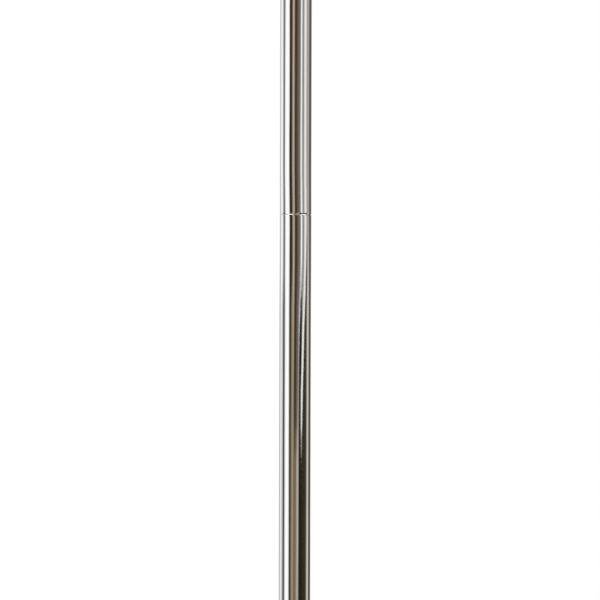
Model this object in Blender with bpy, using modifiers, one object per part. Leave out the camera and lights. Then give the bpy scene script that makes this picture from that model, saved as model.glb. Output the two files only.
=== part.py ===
"""Rolling drip stand: a five-star base on swivel casters, a two-piece outer pole and a sliding hook pole.

Sizes are in metres, +Z is up, and the origin is on the floor, on the axis of the pole.
"""

import math

import bmesh
import bpy
from mathutils import Matrix, Vector

MM = 0.001

# Clearances
CONTACT_GAP = 0.3 * MM  # between pieces that touch
RUNNING_GAP = 0.4 * MM  # between pieces that turn or slide on each other

# Smoothness: sides of a round piece
POLE_SIDES = 24
TUBE_SIDES = 12
SMALL_SIDES = 12
WHEEL_SIDES = 20
HOOK_SIDES = 8
CAP_SIDES = 24
HEXAGON_SIDES = 6
ROUND_END_STEP = 30  # degrees
SHARP_ANGLE = math.radians(40.0)
MERGE_DISTANCE = 0.01 * MM

# Poles
OUTER_POLE_WALL = 1.0 * MM
LOWER_POLE_LENGTH = 500.0 * MM
UPPER_POLE_LENGTH = 520.0 * MM
JOINT_SLEEVE_LENGTH = 80.0 * MM
JOINT_SLEEVE_WALL = 0.8 * MM
INNER_POLE_DIAMETER = 19.0 * MM
POLE_STEP = 6.0 * MM  # from the inner to the outer pole's diameter
INNER_POLE_WALL = 1.2 * MM
POLE_RAISED = 300.0 * MM  # how far the inner pole stands above its lowest place
FOOT_FLANGE_LENGTH = 14.0 * MM
FOOT_SPIGOT_LENGTH = 20.0 * MM
FOOT_TO_PLUG = 10.0 * MM  # free space under the inner pole at its lowest place

# Casters
LEGS = 5
WHEEL_DIAMETER = 75.0 * MM
TYRE_WIDTH = 20.0 * MM
TYRE_DEPTH = 9.5 * MM
TYRE_SHOULDER = 3.0 * MM
RIM_WIDTH = 17.0 * MM
RIM_DEPTH = 4.5 * MM
RIM_WEB = 6.0 * MM
WHEEL_HUB_DIAMETER = 18.0 * MM
WHEEL_HUB_WIDTH = 24.0 * MM
AXLE_DIAMETER = 8.0 * MM
RIVET_HEAD_DIAMETER = 14.0 * MM
RIVET_HEAD_HEIGHT = 3.0 * MM
RIVET_CHAMFER = 1.0 * MM
CASTER_TRAIL = 26.0 * MM
TYRE_TO_CROWN = 5.5 * MM
FORK_PLATE = 2.4 * MM
HUB_TO_CHEEK = 1.5 * MM
CROWN_BEHIND_STEM = 18.0 * MM
CROWN_BEFORE_STEM = 20.0 * MM
CHEEK_END_RADIUS = 11.0 * MM
RACE_DIAMETER = 32.0 * MM
RACE_HEIGHT = 9.5 * MM
KINGPIN_DIAMETER = 8.0 * MM
STEM_DIAMETER = 11.0 * MM
STEM_LENGTH = 25.0 * MM
STEM_FLANGE_DIAMETER = 30.0 * MM
STEM_FLANGE_THICKNESS = 3.0 * MM
BRAKED_CASTERS = (2, 5)
BRAKE_PIN_DIAMETER = 4.0 * MM
BRAKE_PIN_BEHIND_AXLE = 8.0 * MM
BRAKE_PIN_OVER_TYRE = 6.0 * MM
BRAKE_EAR_RADIUS = 6.5 * MM
PEDAL_LENGTH = 42.0 * MM
PEDAL_THICKNESS = 3.0 * MM
PEDAL_OVER_PIN = 7.0 * MM
BRAKE_SHOE_FROM_PIN = 6.0 * MM
BRAKE_SHOE_LENGTH = 6.0 * MM
BRAKE_SHOE_TO_TYRE = 2.4 * MM

# Legs and their ends
LEG_REACH = 270.0 * MM  # from the pole's axis to a caster's stem
LEG_DIAMETER = 22.0 * MM
LEG_WALL = 1.5 * MM
LEG_FLAT_RUN = 8.0 * MM
LEG_BEND_RADIUS = 300.0 * MM
LEG_SLOPE = math.radians(12.0)
LEG_BEND_STEPS = 4
LEG_INTO_BOSS = 3.0 * MM
LEG_ENTRY_HEIGHT = 19.0 * MM  # of the leg's end over the foot of the boss
BOSS_DIAMETER = 34.0 * MM
BOSS_HEIGHT = 37.0 * MM
BOSS_DOME = 5.0 * MM
END_SLEEVE_LENGTH = 30.0 * MM
END_SLEEVE_WALL = 2.8 * MM
END_SLEEVE_INTO_BOSS = 8.0 * MM

# Hub of the base
HUB_DIAMETER = 68.0 * MM
HUB_ABOVE_LEGS = 28.0 * MM
HUB_BELOW_LEGS = 32.0 * MM
HUB_EDGE = 4.0 * MM
HUB_WALL = 5.0 * MM
HUB_SLEEVE_LENGTH = 22.0 * MM  # outside the hub's core
HUB_SLEEVE_WALL = 3.4 * MM
HUB_SOCKET_WEB = 2.0 * MM  # half the wall between neighbouring sockets
HUB_POCKET_DIAMETER = 32.0 * MM
HUB_POCKET_DEPTH = 12.0 * MM
HUB_FLOOR = 10.0 * MM
HUB_COVER_HEIGHT = 17.0 * MM
HUB_COVER_RIM = 3.0 * MM
HUB_COVER_WALL = 3.0 * MM
BASE_BOLT_DIAMETER = 10.0 * MM
BASE_BOLT_HEAD_DIAMETER = 19.0 * MM  # across the corners
BASE_BOLT_HEAD_HEIGHT = 7.0 * MM
BASE_BOLT_FLANGE_DIAMETER = 24.0 * MM
BASE_BOLT_FLANGE_HEIGHT = 2.0 * MM
POLE_PLUG_LENGTH = 30.0 * MM
BOLT_INTO_PLUG = 24.0 * MM

# Height lock
COLLAR_DIAMETER = 36.0 * MM
COLLAR_GRIP = 22.0 * MM  # how far the collar goes down over the outer pole
COLLAR_ABOVE_POLE = 44.0 * MM
COLLAR_EDGE = 2.5 * MM
BUSH_DEPTH = 12.0 * MM
BUSH_WALL = 2.6 * MM
BUSH_FLANGE_DIAMETER = 30.0 * MM
BUSH_FLANGE_HEIGHT = 2.0 * MM
LOCK_HEIGHT = 16.0 * MM  # of the screw over the outer pole's end
LOCK_BOSS_DIAMETER = 20.0 * MM
LOCK_BOSS_REACH = 13.0 * MM  # outside the collar
LOCK_SCREW_DIAMETER = 8.0 * MM
INSERT_WALL = 1.8 * MM
INSERT_LENGTH = 14.0 * MM
PAD_THICKNESS = 4.0 * MM
KNOB_DIAMETER = 44.0 * MM
KNOB_LOBES = 6
KNOB_LOBE_DEPTH = 2.2 * MM
KNOB_POINTS = 48
KNOB_THICKNESS = 17.0 * MM
KNOB_NECK_DIAMETER = 20.0 * MM
KNOB_NECK_LENGTH = 5.0 * MM
KNOB_TO_BOSS = 2.5 * MM
SCREW_INTO_KNOB = 14.0 * MM

# Hook head
HEAD_REST_GAP = 3.0 * MM  # over the height lock at the lowest place
HEAD_SKIRT_LENGTH = 30.0 * MM
HEAD_SKIRT_WALL = 2.6 * MM
HEAD_DIAMETER = 32.0 * MM
HEAD_HEIGHT = 26.0 * MM
HEAD_EDGE = 2.0 * MM
HOOKS = 4
HOOK_ROD_DIAMETER = 7.0 * MM
HOOK_HEIGHT = 13.0 * MM  # over the inner pole's end
HOOK_SOCKET_DEPTH = 8.0 * MM
HOOK_ARC_STEP = math.radians(19.0)
CAP_HEIGHT = 9.0 * MM
CAP_SPIGOT_DIAMETER = 10.0 * MM
CAP_SPIGOT_LENGTH = 7.0 * MM

# What one hook does after it leaves the head: (length) or (radius, turn upwards in degrees)
HOOK_ROUTE = (
    (30.0 * MM,),
    (22.0 * MM, 25.0),
    (16.0 * MM, -105.0),
    (6.0 * MM,),
    (13.0 * MM, 190.0),
    (8.0 * MM,),
    (9.0 * MM, -45.0),
)


def clear_bore(radius, gap, sides):
    """Corner radius of a faceted bore whose flats clear a round piece of this radius."""
    return (radius + gap) / math.cos(math.pi / sides)


def fit_inside(bore, gap, sides):
    """Corner radius of a piece that clears the flats of a faceted bore with this corner radius."""
    return bore * math.cos(math.pi / sides) - gap


# The outer pole follows the inner one, which slides in it through the joint sleeve
OUTER_POLE_DIAMETER = INNER_POLE_DIAMETER + POLE_STEP

# Levels of the caster, from the floor up
AXLE_Z = WHEEL_DIAMETER / 2
CROWN_BOTTOM = WHEEL_DIAMETER + TYRE_TO_CROWN
CROWN_TOP = CROWN_BOTTOM + FORK_PLATE
RACE_TOP = CROWN_TOP + RACE_HEIGHT
STEM_FLANGE_BOTTOM = RACE_TOP + RUNNING_GAP
STEM_FLANGE_TOP = STEM_FLANGE_BOTTOM + STEM_FLANGE_THICKNESS
BOSS_BOTTOM = STEM_FLANGE_TOP + CONTACT_GAP
BOSS_TOP = BOSS_BOTTOM + BOSS_HEIGHT
CHEEK_INNER_Y = WHEEL_HUB_WIDTH / 2 + HUB_TO_CHEEK
CHEEK_OUTER_Y = CHEEK_INNER_Y + FORK_PLATE
BRAKE_PIN_X = CASTER_TRAIL + BRAKE_PIN_BEHIND_AXLE
BRAKE_PIN_Z = WHEEL_DIAMETER + BRAKE_PIN_OVER_TYRE

# Bores and shafts that fit each other
AXLE_BORE = clear_bore(AXLE_DIAMETER / 2, RUNNING_GAP, SMALL_SIDES)
STEM_BORE = clear_bore(STEM_DIAMETER / 2, CONTACT_GAP, SMALL_SIDES)
KINGPIN_BORE = clear_bore(KINGPIN_DIAMETER / 2, RUNNING_GAP, SMALL_SIDES)
BRAKE_PIN_BORE = clear_bore(BRAKE_PIN_DIAMETER / 2, CONTACT_GAP, SMALL_SIDES)
LEG_BORE = clear_bore(LEG_DIAMETER / 2, CONTACT_GAP, TUBE_SIDES)
RIM_RADIUS = WHEEL_DIAMETER / 2 - TYRE_DEPTH
OUTER_POLE_RADIUS = OUTER_POLE_DIAMETER / 2
OUTER_POLE_BORE = OUTER_POLE_RADIUS - OUTER_POLE_WALL
POLE_SEAT_BORE = clear_bore(OUTER_POLE_RADIUS, CONTACT_GAP, POLE_SIDES)
SLEEVE_RADIUS = fit_inside(OUTER_POLE_BORE, CONTACT_GAP, POLE_SIDES)
SLEEVE_BORE = SLEEVE_RADIUS - JOINT_SLEEVE_WALL
FOOT_RADIUS = fit_inside(SLEEVE_BORE, CONTACT_GAP, POLE_SIDES)
INNER_POLE_RADIUS = INNER_POLE_DIAMETER / 2
INNER_POLE_BORE = INNER_POLE_RADIUS - INNER_POLE_WALL
INNER_GUIDE_BORE = clear_bore(INNER_POLE_RADIUS, RUNNING_GAP, POLE_SIDES)
BUSH_RADIUS = INNER_GUIDE_BORE + BUSH_WALL
BUSH_SEAT_BORE = clear_bore(BUSH_RADIUS, CONTACT_GAP, POLE_SIDES)
LOCK_BORE = clear_bore(LOCK_SCREW_DIAMETER / 2, RUNNING_GAP, SMALL_SIDES)
INSERT_RADIUS = LOCK_BORE + INSERT_WALL
INSERT_BORE = clear_bore(INSERT_RADIUS, CONTACT_GAP, SMALL_SIDES)
HOOK_BORE = clear_bore(HOOK_ROD_DIAMETER / 2, CONTACT_GAP, SMALL_SIDES)
BASE_BOLT_BORE = clear_bore(BASE_BOLT_DIAMETER / 2, CONTACT_GAP, SMALL_SIDES)

# The leg's line, in its own vertical plane
SOCKET_START = max(
    (LEG_BORE + HUB_SOCKET_WEB) / math.tan(math.pi / LEGS),
    POLE_SEAT_BORE + HUB_WALL,
)
HUB_SLEEVE_END = HUB_DIAMETER / 2 + HUB_SLEEVE_LENGTH
LEG_BEND_START = HUB_SLEEVE_END + LEG_FLAT_RUN
LEG_BEND_END = LEG_BEND_START + LEG_BEND_RADIUS * math.sin(LEG_SLOPE)
LEG_END = LEG_REACH - BOSS_DIAMETER / 2 + LEG_INTO_BOSS
LEG_END_Z = BOSS_BOTTOM + LEG_ENTRY_HEIGHT
LEG_BEND_DROP = LEG_BEND_RADIUS * (1 - math.cos(LEG_SLOPE))
HUB_AXIS_Z = LEG_END_Z + LEG_BEND_DROP + (LEG_END - LEG_BEND_END) * math.tan(LEG_SLOPE)

# Levels of the hub and the poles
HUB_BOTTOM = HUB_AXIS_Z - HUB_BELOW_LEGS
HUB_TOP = HUB_AXIS_Z + HUB_ABOVE_LEGS
POLE_SEAT_Z = HUB_BOTTOM + HUB_POCKET_DEPTH + HUB_FLOOR
LOWER_POLE_BOTTOM = POLE_SEAT_Z + CONTACT_GAP
SEAM_Z = LOWER_POLE_BOTTOM + LOWER_POLE_LENGTH
UPPER_POLE_BOTTOM = SEAM_Z + CONTACT_GAP
OUTER_POLE_TOP = UPPER_POLE_BOTTOM + UPPER_POLE_LENGTH
POLE_PLUG_TOP = LOWER_POLE_BOTTOM + POLE_PLUG_LENGTH

# Levels of the height lock and the inner pole
COLLAR_BOTTOM = OUTER_POLE_TOP - COLLAR_GRIP
COLLAR_TOP = OUTER_POLE_TOP + COLLAR_ABOVE_POLE
LOCK_Z = OUTER_POLE_TOP + LOCK_HEIGHT
BUSH_TOP = COLLAR_TOP + CONTACT_GAP + BUSH_FLANGE_HEIGHT
LOWEST_POLE_TOP = BUSH_TOP + HEAD_REST_GAP + HEAD_SKIRT_LENGTH
LOWEST_FOOT_TOP = POLE_PLUG_TOP + FOOT_TO_PLUG + FOOT_FLANGE_LENGTH
INNER_POLE_TOP = LOWEST_POLE_TOP + POLE_RAISED
INNER_POLE_BOTTOM = LOWEST_FOOT_TOP + CONTACT_GAP + POLE_RAISED
FOOT_TOP = INNER_POLE_BOTTOM - CONTACT_GAP
HEAD_SEAT_Z = INNER_POLE_TOP + CONTACT_GAP
HEAD_TOP = INNER_POLE_TOP + HEAD_HEIGHT

# Distances from the pole's axis along the lock screw
PAD_START = INNER_POLE_RADIUS + CONTACT_GAP
PAD_END = PAD_START + PAD_THICKNESS
SCREW_START = PAD_END + CONTACT_GAP
LOCK_BOSS_END = COLLAR_DIAMETER / 2 + LOCK_BOSS_REACH
INSERT_START = LOCK_BOSS_END - INSERT_LENGTH
KNOB_START = LOCK_BOSS_END + KNOB_TO_BOSS
KNOB_END = KNOB_START + KNOB_NECK_LENGTH + KNOB_THICKNESS
SCREW_END = KNOB_START + SCREW_INTO_KNOB


def clear_scene():
    for obj in list(bpy.data.objects):
        bpy.data.objects.remove(obj, do_unlink=True)


def new_collection(name):
    collection = bpy.data.collections.new(name)
    bpy.context.scene.collection.children.link(collection)
    return collection


def new_material(name, colour, roughness, metallic):
    material = bpy.data.materials.new(name)
    material.use_nodes = True
    shader = material.node_tree.nodes["Principled BSDF"]
    shader.inputs["Base Color"].default_value = (*colour, 1.0)
    shader.inputs["Roughness"].default_value = roughness
    shader.inputs["Metallic"].default_value = metallic
    return material


clear_scene()
STAND = new_collection("drip_stand")
CUTTERS = new_collection("cutters")

CHROME = new_material("chrome", (0.78, 0.78, 0.77), 0.06, 1.0)
ZINC = new_material("zinc_plate", (0.62, 0.63, 0.64), 0.30, 1.0)
CAST_ALUMINIUM = new_material("cast_aluminium", (0.60, 0.61, 0.62), 0.42, 1.0)
BRASS = new_material("brass", (0.72, 0.56, 0.26), 0.30, 1.0)
BLACK_NYLON = new_material("black_nylon", (0.022, 0.022, 0.024), 0.45, 0.0)
WHITE_NYLON = new_material("white_nylon", (0.80, 0.79, 0.74), 0.40, 0.0)
RIM_PLASTIC = new_material("rim_plastic", (0.56, 0.57, 0.58), 0.38, 0.0)
GREY_RUBBER = new_material("grey_rubber", (0.16, 0.16, 0.17), 0.75, 0.0)
PEDAL_PLASTIC = new_material("pedal_plastic", (0.50, 0.035, 0.030), 0.35, 0.0)


def shape(mesh):
    """A working object that is not rendered: a blank to be cut or joined, or the cutter itself."""
    obj = bpy.data.objects.new("shape", mesh)
    CUTTERS.objects.link(obj)
    obj.hide_render = True
    obj.display_type = "WIRE"
    return obj


def bake(obj):
    """The object's mesh with its modifiers applied. The object is removed."""
    graph = bpy.context.evaluated_depsgraph_get()
    mesh = bpy.data.meshes.new_from_object(obj.evaluated_get(graph))
    bpy.data.objects.remove(obj, do_unlink=True)
    return mesh


def welded(mesh):
    """Joins a curve's loose caps to its sides."""
    bm = bmesh.new()
    bm.from_mesh(mesh)
    bmesh.ops.remove_doubles(bm, verts=bm.verts, dist=MERGE_DISTANCE)
    bm.to_mesh(mesh)
    bm.free()
    return mesh


def turned(profile, sides, ring=False):
    """A profile of (radius, height) turned about Z: down its outer side, and back up the bore of a ring."""
    count = len(profile)
    edges = [(i, i + 1) for i in range(count - 1)]
    if ring:
        edges.append((count - 1, 0))
    mesh = bpy.data.meshes.new("profile")
    mesh.from_pydata([(radius, 0, height) for radius, height in profile], edges, [])
    obj = shape(mesh)
    screw = obj.modifiers.new("Turn", "SCREW")
    screw.steps = screw.render_steps = sides
    screw.use_merge_vertices = True
    screw.merge_threshold = MERGE_DISTANCE
    return shape(bake(obj))


def ring(outer, inner, bottom, top, sides):
    return turned([(outer, top), (outer, bottom), (inner, bottom), (inner, top)], sides, ring=True)


def cylinder(radius, start, end, sides):
    """A solid cylinder between two points."""
    start, end = Vector(start), Vector(end)
    turn = (end - start).to_track_quat("Z", "Y").to_matrix().to_4x4()
    bm = bmesh.new()
    bmesh.ops.create_cone(
        bm,
        cap_ends=True,
        segments=sides,
        radius1=radius,
        radius2=radius,
        depth=(end - start).length,
        matrix=Matrix.Translation((start + end) / 2) @ turn,
    )
    mesh = bpy.data.meshes.new("cylinder")
    bm.to_mesh(mesh)
    bm.free()
    return shape(mesh)


def box(low, high):
    """A box between two corners."""
    low, high = Vector(low), Vector(high)
    bm = bmesh.new()
    bmesh.ops.create_cube(
        bm, size=1.0, matrix=Matrix.Translation((low + high) / 2) @ Matrix.Diagonal((*(high - low), 1.0))
    )
    mesh = bpy.data.meshes.new("box")
    bm.to_mesh(mesh)
    bm.free()
    return shape(mesh)


def curve_object(points, dimensions, cyclic):
    curve = bpy.data.curves.new("curve", "CURVE")
    curve.dimensions = dimensions
    spline = curve.splines.new("POLY")
    spline.points.add(len(points) - 1)
    for point, place in zip(spline.points, points):
        point.co = (*place, 1.0)
    spline.use_cyclic_u = cyclic
    obj = bpy.data.objects.new("curve", curve)
    CUTTERS.objects.link(obj)
    return obj


def plate(outline, thickness):
    """A flat outline in X and Y, as thick as this about Z = 0."""
    obj = curve_object([(x, y, 0) for x, y in outline], "2D", True)
    obj.data.fill_mode = "BOTH"
    obj.data.extrude = thickness / 2
    return shape(welded(bake(obj)))


def rod(points, radius, sides, caps=True):
    """A round rod along points, or the skin of a tube when it has no caps."""
    obj = curve_object(points, "3D", False)
    obj.data.bevel_depth = radius
    obj.data.bevel_resolution = (sides - 4) // 2
    obj.data.use_fill_caps = caps
    return shape(welded(bake(obj)))


def moved(obj, matrix):
    obj.data.transform(matrix)
    return obj


def combined(target, others, operation):
    for other in others:
        boolean = target.modifiers.new(operation.title(), "BOOLEAN")
        boolean.operation = operation
        boolean.object = other
    result = shape(bake(target))
    for other in others:
        bpy.data.objects.remove(other, do_unlink=True)
    return result


def joined(target, *others):
    return combined(target, others, "UNION")


def cut(target, *others):
    return combined(target, others, "DIFFERENCE")


def mesh_of(obj):
    """A finished shape's mesh, smooth over its round faces."""
    mesh = bake(obj)
    mesh.shade_smooth()
    mesh.set_sharp_from_angle(angle=SHARP_ANGLE)
    return mesh


def axis_empty(name, location=(0, 0, 0), turn=0.0, parent=None):
    """An empty on an axis that pieces share. Its X axis is turned from world X, about Z."""
    empty = bpy.data.objects.new(name, None)
    STAND.objects.link(empty)
    empty.location = location
    empty.rotation_euler = (0, 0, turn)
    empty.parent = parent
    return empty


def piece(name, mesh, material, parent=None):
    obj = bpy.data.objects.new(name, mesh)
    STAND.objects.link(obj)
    obj.parent = parent
    if not mesh.materials:
        mesh.materials.append(material)
    return obj


def chamfered_disc(radius, bottom, top, edge):
    """The profile of a solid disc with both rims chamfered."""
    return [
        (0, top),
        (radius - edge, top),
        (radius, top - edge),
        (radius, bottom + edge),
        (radius - edge, bottom),
        (0, bottom),
    ]


# The wheel is made about Z and laid on its side, with one flat of the tread facing down.
WHEEL_TURN = Matrix.Rotation(math.pi / 2, 4, "X") @ Matrix.Rotation(math.pi / WHEEL_SIDES, 4, "Z")


def tyre_mesh():
    tread = WHEEL_DIAMETER / 2 / math.cos(math.pi / WHEEL_SIDES)
    bore = clear_bore(RIM_RADIUS, CONTACT_GAP, WHEEL_SIDES)
    side = TYRE_WIDTH / 2
    half = [(tread, side - TYRE_SHOULDER), (tread - TYRE_SHOULDER, side), (bore, side)]
    profile = half[::-1] + [(radius, -height) for radius, height in half]
    return mesh_of(moved(turned(profile, WHEEL_SIDES, ring=True), WHEEL_TURN))


def rim_mesh():
    hub = WHEEL_HUB_DIAMETER / 2
    lip = RIM_RADIUS - RIM_DEPTH
    half = [
        (RIM_RADIUS, RIM_WIDTH / 2),
        (lip, RIM_WIDTH / 2),
        (lip, RIM_WEB / 2),
        (hub, RIM_WEB / 2),
        (hub, WHEEL_HUB_WIDTH / 2),
        (AXLE_BORE, WHEEL_HUB_WIDTH / 2),
    ]
    profile = half[::-1] + [(radius, -height) for radius, height in half]
    return mesh_of(moved(turned(profile, TUBE_SIDES, ring=True), WHEEL_TURN))


def axle_mesh():
    """A riveted axle, with a formed head outside each cheek."""
    shaft, head = AXLE_DIAMETER / 2, RIVET_HEAD_DIAMETER / 2
    seat = CHEEK_OUTER_Y + CONTACT_GAP
    end = seat + RIVET_HEAD_HEIGHT
    half = [(0, end), (head - RIVET_CHAMFER, end), (head, end - RIVET_CHAMFER), (head, seat), (shaft, seat)]
    profile = half + [(radius, -height) for radius, height in half[::-1]]
    return mesh_of(moved(turned(profile, SMALL_SIDES), WHEEL_TURN))


def stem_mesh():
    """The stem, its flange, and the kingpin whose riveted head carries the fork."""
    stem, flange, pin = STEM_DIAMETER / 2, STEM_FLANGE_DIAMETER / 2, KINGPIN_DIAMETER / 2
    head = RIVET_HEAD_DIAMETER / 2
    top = STEM_FLANGE_TOP + STEM_LENGTH
    head_top = CROWN_BOTTOM - RUNNING_GAP
    head_bottom = head_top - RIVET_HEAD_HEIGHT
    return mesh_of(
        turned(
            [
                (0, top),
                (stem - RIVET_CHAMFER, top),
                (stem, top - RIVET_CHAMFER),
                (stem, STEM_FLANGE_TOP),
                (flange, STEM_FLANGE_TOP),
                (flange, STEM_FLANGE_BOTTOM),
                (pin, STEM_FLANGE_BOTTOM),
                (pin, head_top),
                (head, head_top),
                (head, head_bottom + RIVET_CHAMFER),
                (head - RIVET_CHAMFER, head_bottom),
                (0, head_bottom),
            ],
            SMALL_SIDES,
        )
    )


def cheek_outline():
    """One side plate of the fork, in X and Z, with a round end about the axle."""
    ear = BRAKE_EAR_RADIUS
    arc = [math.radians(angle) for angle in range(0, -181, -ROUND_END_STEP)]
    round_end = [
        (CASTER_TRAIL + CHEEK_END_RADIUS * math.cos(angle), AXLE_Z + CHEEK_END_RADIUS * math.sin(angle))
        for angle in arc
    ]
    return [
        (-CROWN_BEHIND_STEM, CROWN_TOP),
        (BRAKE_PIN_X - 2 * ear, CROWN_TOP),
        (BRAKE_PIN_X - ear / 2, BRAKE_PIN_Z + ear),
        (BRAKE_PIN_X + ear / 2, BRAKE_PIN_Z + ear),
        (BRAKE_PIN_X + ear, BRAKE_PIN_Z),
        *round_end,
        (-CROWN_BEHIND_STEM, CROWN_BOTTOM - FORK_PLATE),
    ]


def fork_mesh(braked):
    """Crown plate, two cheeks and the ball race, pressed as one."""
    upright = Matrix.Rotation(math.pi / 2, 4, "X")
    fork = box(
        (-CROWN_BEHIND_STEM, -CHEEK_OUTER_Y + FORK_PLATE / 2, CROWN_BOTTOM),
        (CROWN_BEFORE_STEM, CHEEK_OUTER_Y - FORK_PLATE / 2, CROWN_TOP),
    )
    cheeks = []
    for side in (-1, 1):
        middle = Matrix.Translation((0, side * (CHEEK_OUTER_Y - FORK_PLATE / 2), 0))
        cheeks.append(moved(plate(cheek_outline(), FORK_PLATE), middle @ upright))
    race = cylinder(RACE_DIAMETER / 2, (0, 0, CROWN_TOP - FORK_PLATE / 2), (0, 0, RACE_TOP), TUBE_SIDES)
    fork = joined(fork, *cheeks, race)
    past = CHEEK_OUTER_Y + FORK_PLATE
    cutters = [
        cylinder(
            KINGPIN_BORE, (0, 0, CROWN_BOTTOM - FORK_PLATE), (0, 0, RACE_TOP + FORK_PLATE), SMALL_SIDES
        ),
        cylinder(AXLE_BORE, (CASTER_TRAIL, -past, AXLE_Z), (CASTER_TRAIL, past, AXLE_Z), SMALL_SIDES),
    ]
    if braked:
        pin = (BRAKE_PIN_X, -past, BRAKE_PIN_Z), (BRAKE_PIN_X, past, BRAKE_PIN_Z)
        cutters.append(cylinder(BRAKE_PIN_BORE, *pin, SMALL_SIDES))
    return mesh_of(cut(fork, *cutters))


def brake_pin_mesh():
    """About its own axis, which is the pedal's pivot."""
    reach = CHEEK_OUTER_Y
    return mesh_of(cylinder(BRAKE_PIN_DIAMETER / 2, (0, -reach, 0), (0, reach, 0), SMALL_SIDES))


def pedal_mesh():
    """Foot plate, pivot block and the shoe that comes down on the tyre, about the pivot."""
    half = CHEEK_INNER_Y - HUB_TO_CHEEK
    block = BRAKE_PIN_DIAMETER / 2 + 2 * RIVET_CHAMFER
    shoe_end = BRAKE_SHOE_FROM_PIN + BRAKE_SHOE_LENGTH
    behind = BRAKE_PIN_BEHIND_AXLE + BRAKE_SHOE_FROM_PIN
    tread = WHEEL_DIAMETER / 2 / math.cos(math.pi / WHEEL_SIDES)
    tyre_top = AXLE_Z + math.sqrt(tread**2 - behind**2)
    shoe_bottom = tyre_top + BRAKE_SHOE_TO_TYRE - BRAKE_PIN_Z
    plate_top = PEDAL_OVER_PIN + PEDAL_THICKNESS
    plate_middle = PEDAL_OVER_PIN + PEDAL_THICKNESS / 2
    pedal = joined(
        box((-block, -half, PEDAL_OVER_PIN), (PEDAL_LENGTH, half, plate_top)),
        box((-block, -half, -block), (block, half, plate_middle)),
        box((block - CONTACT_GAP, -half, shoe_bottom), (shoe_end, half, plate_middle)),
    )
    past = half + FORK_PLATE
    return mesh_of(cut(pedal, cylinder(BRAKE_PIN_BORE, (0, -past, 0), (0, past, 0), SMALL_SIDES)))


def leg_line():
    """The leg's middle line: level out of the hub, one gentle bend, then straight down to the caster."""
    points = [(SOCKET_START + CONTACT_GAP, 0, HUB_AXIS_Z)]
    for step in range(LEG_BEND_STEPS + 1):
        angle = LEG_SLOPE * step / LEG_BEND_STEPS
        points.append(
            (
                LEG_BEND_START + LEG_BEND_RADIUS * math.sin(angle),
                0,
                HUB_AXIS_Z - LEG_BEND_RADIUS * (1 - math.cos(angle)),
            )
        )
    points.append((LEG_END, 0, LEG_END_Z))
    return points


def leg_mesh():
    leg = rod(leg_line(), LEG_DIAMETER / 2, TUBE_SIDES, caps=False)
    wall = leg.modifiers.new("Wall", "SOLIDIFY")
    wall.thickness = LEG_WALL
    wall.offset = -1
    wall.use_even_offset = True
    return mesh_of(leg)


def leg_end_mesh():
    """The moulded end of a leg: a sleeve over the tube and an upright boss for the caster's stem."""
    end = Vector((LEG_END, 0, LEG_END_Z))
    along = Vector((math.cos(LEG_SLOPE), 0, -math.sin(LEG_SLOPE)))
    boss = moved(
        turned(chamfered_disc(BOSS_DIAMETER / 2, BOSS_BOTTOM, BOSS_TOP, BOSS_DOME), TUBE_SIDES),
        Matrix.Translation((LEG_REACH, 0, 0)),
    )
    sleeve = cylinder(
        LEG_BORE + END_SLEEVE_WALL,
        end - along * END_SLEEVE_LENGTH,
        end + along * END_SLEEVE_INTO_BOSS,
        TUBE_SIDES,
    )
    stem_top = STEM_FLANGE_TOP + STEM_LENGTH + CONTACT_GAP
    return mesh_of(
        cut(
            joined(boss, sleeve),
            cylinder(
                LEG_BORE, end - along * 2 * END_SLEEVE_LENGTH, end + along * CONTACT_GAP, TUBE_SIDES
            ),
            cylinder(
                STEM_BORE,
                (LEG_REACH, 0, BOSS_BOTTOM - BOSS_DOME),
                (LEG_REACH, 0, stem_top),
                SMALL_SIDES,
            ),
        )
    )


def hub_mesh():
    """The cast hub: a core with five sleeves, a seat for the pole and a pocket for its bolt."""
    hub = turned(chamfered_disc(HUB_DIAMETER / 2, HUB_BOTTOM, HUB_TOP, HUB_EDGE), POLE_SIDES)
    sleeves, sockets = [], []
    for number in range(LEGS):
        angle = leg_angle(number)
        out = Vector((math.cos(angle), math.sin(angle), 0))
        level = Vector((0, 0, HUB_AXIS_Z))
        start = level + out * SOCKET_START
        sleeve_end = level + out * HUB_SLEEVE_END
        sleeves.append(cylinder(LEG_BORE + HUB_SLEEVE_WALL, start, sleeve_end, TUBE_SIDES))
        sockets.append(cylinder(LEG_BORE, start, sleeve_end + out * HUB_SLEEVE_WALL, TUBE_SIDES))
    pocket_top = HUB_BOTTOM + HUB_POCKET_DEPTH
    return mesh_of(
        cut(
            joined(hub, *sleeves),
            *sockets,
            cylinder(POLE_SEAT_BORE, (0, 0, POLE_SEAT_Z), (0, 0, HUB_TOP + HUB_EDGE), POLE_SIDES),
            cylinder(
                HUB_POCKET_DIAMETER / 2, (0, 0, HUB_BOTTOM - HUB_EDGE), (0, 0, pocket_top), TUBE_SIDES
            ),
            cylinder(BASE_BOLT_BORE, (0, 0, HUB_BOTTOM), (0, 0, HUB_TOP), SMALL_SIDES),
        )
    )


def hub_cover_mesh():
    """A turned skirt round the pole that closes the top of the hub."""
    bottom = HUB_TOP + CONTACT_GAP
    foot = HUB_DIAMETER / 2 - HUB_EDGE
    return mesh_of(
        turned(
            [
                (POLE_SEAT_BORE + HUB_COVER_WALL, bottom + HUB_COVER_HEIGHT),
                (foot, bottom + HUB_COVER_RIM),
                (foot, bottom),
                (POLE_SEAT_BORE, bottom),
                (POLE_SEAT_BORE, bottom + HUB_COVER_HEIGHT),
            ],
            POLE_SIDES,
            ring=True,
        )
    )


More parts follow.
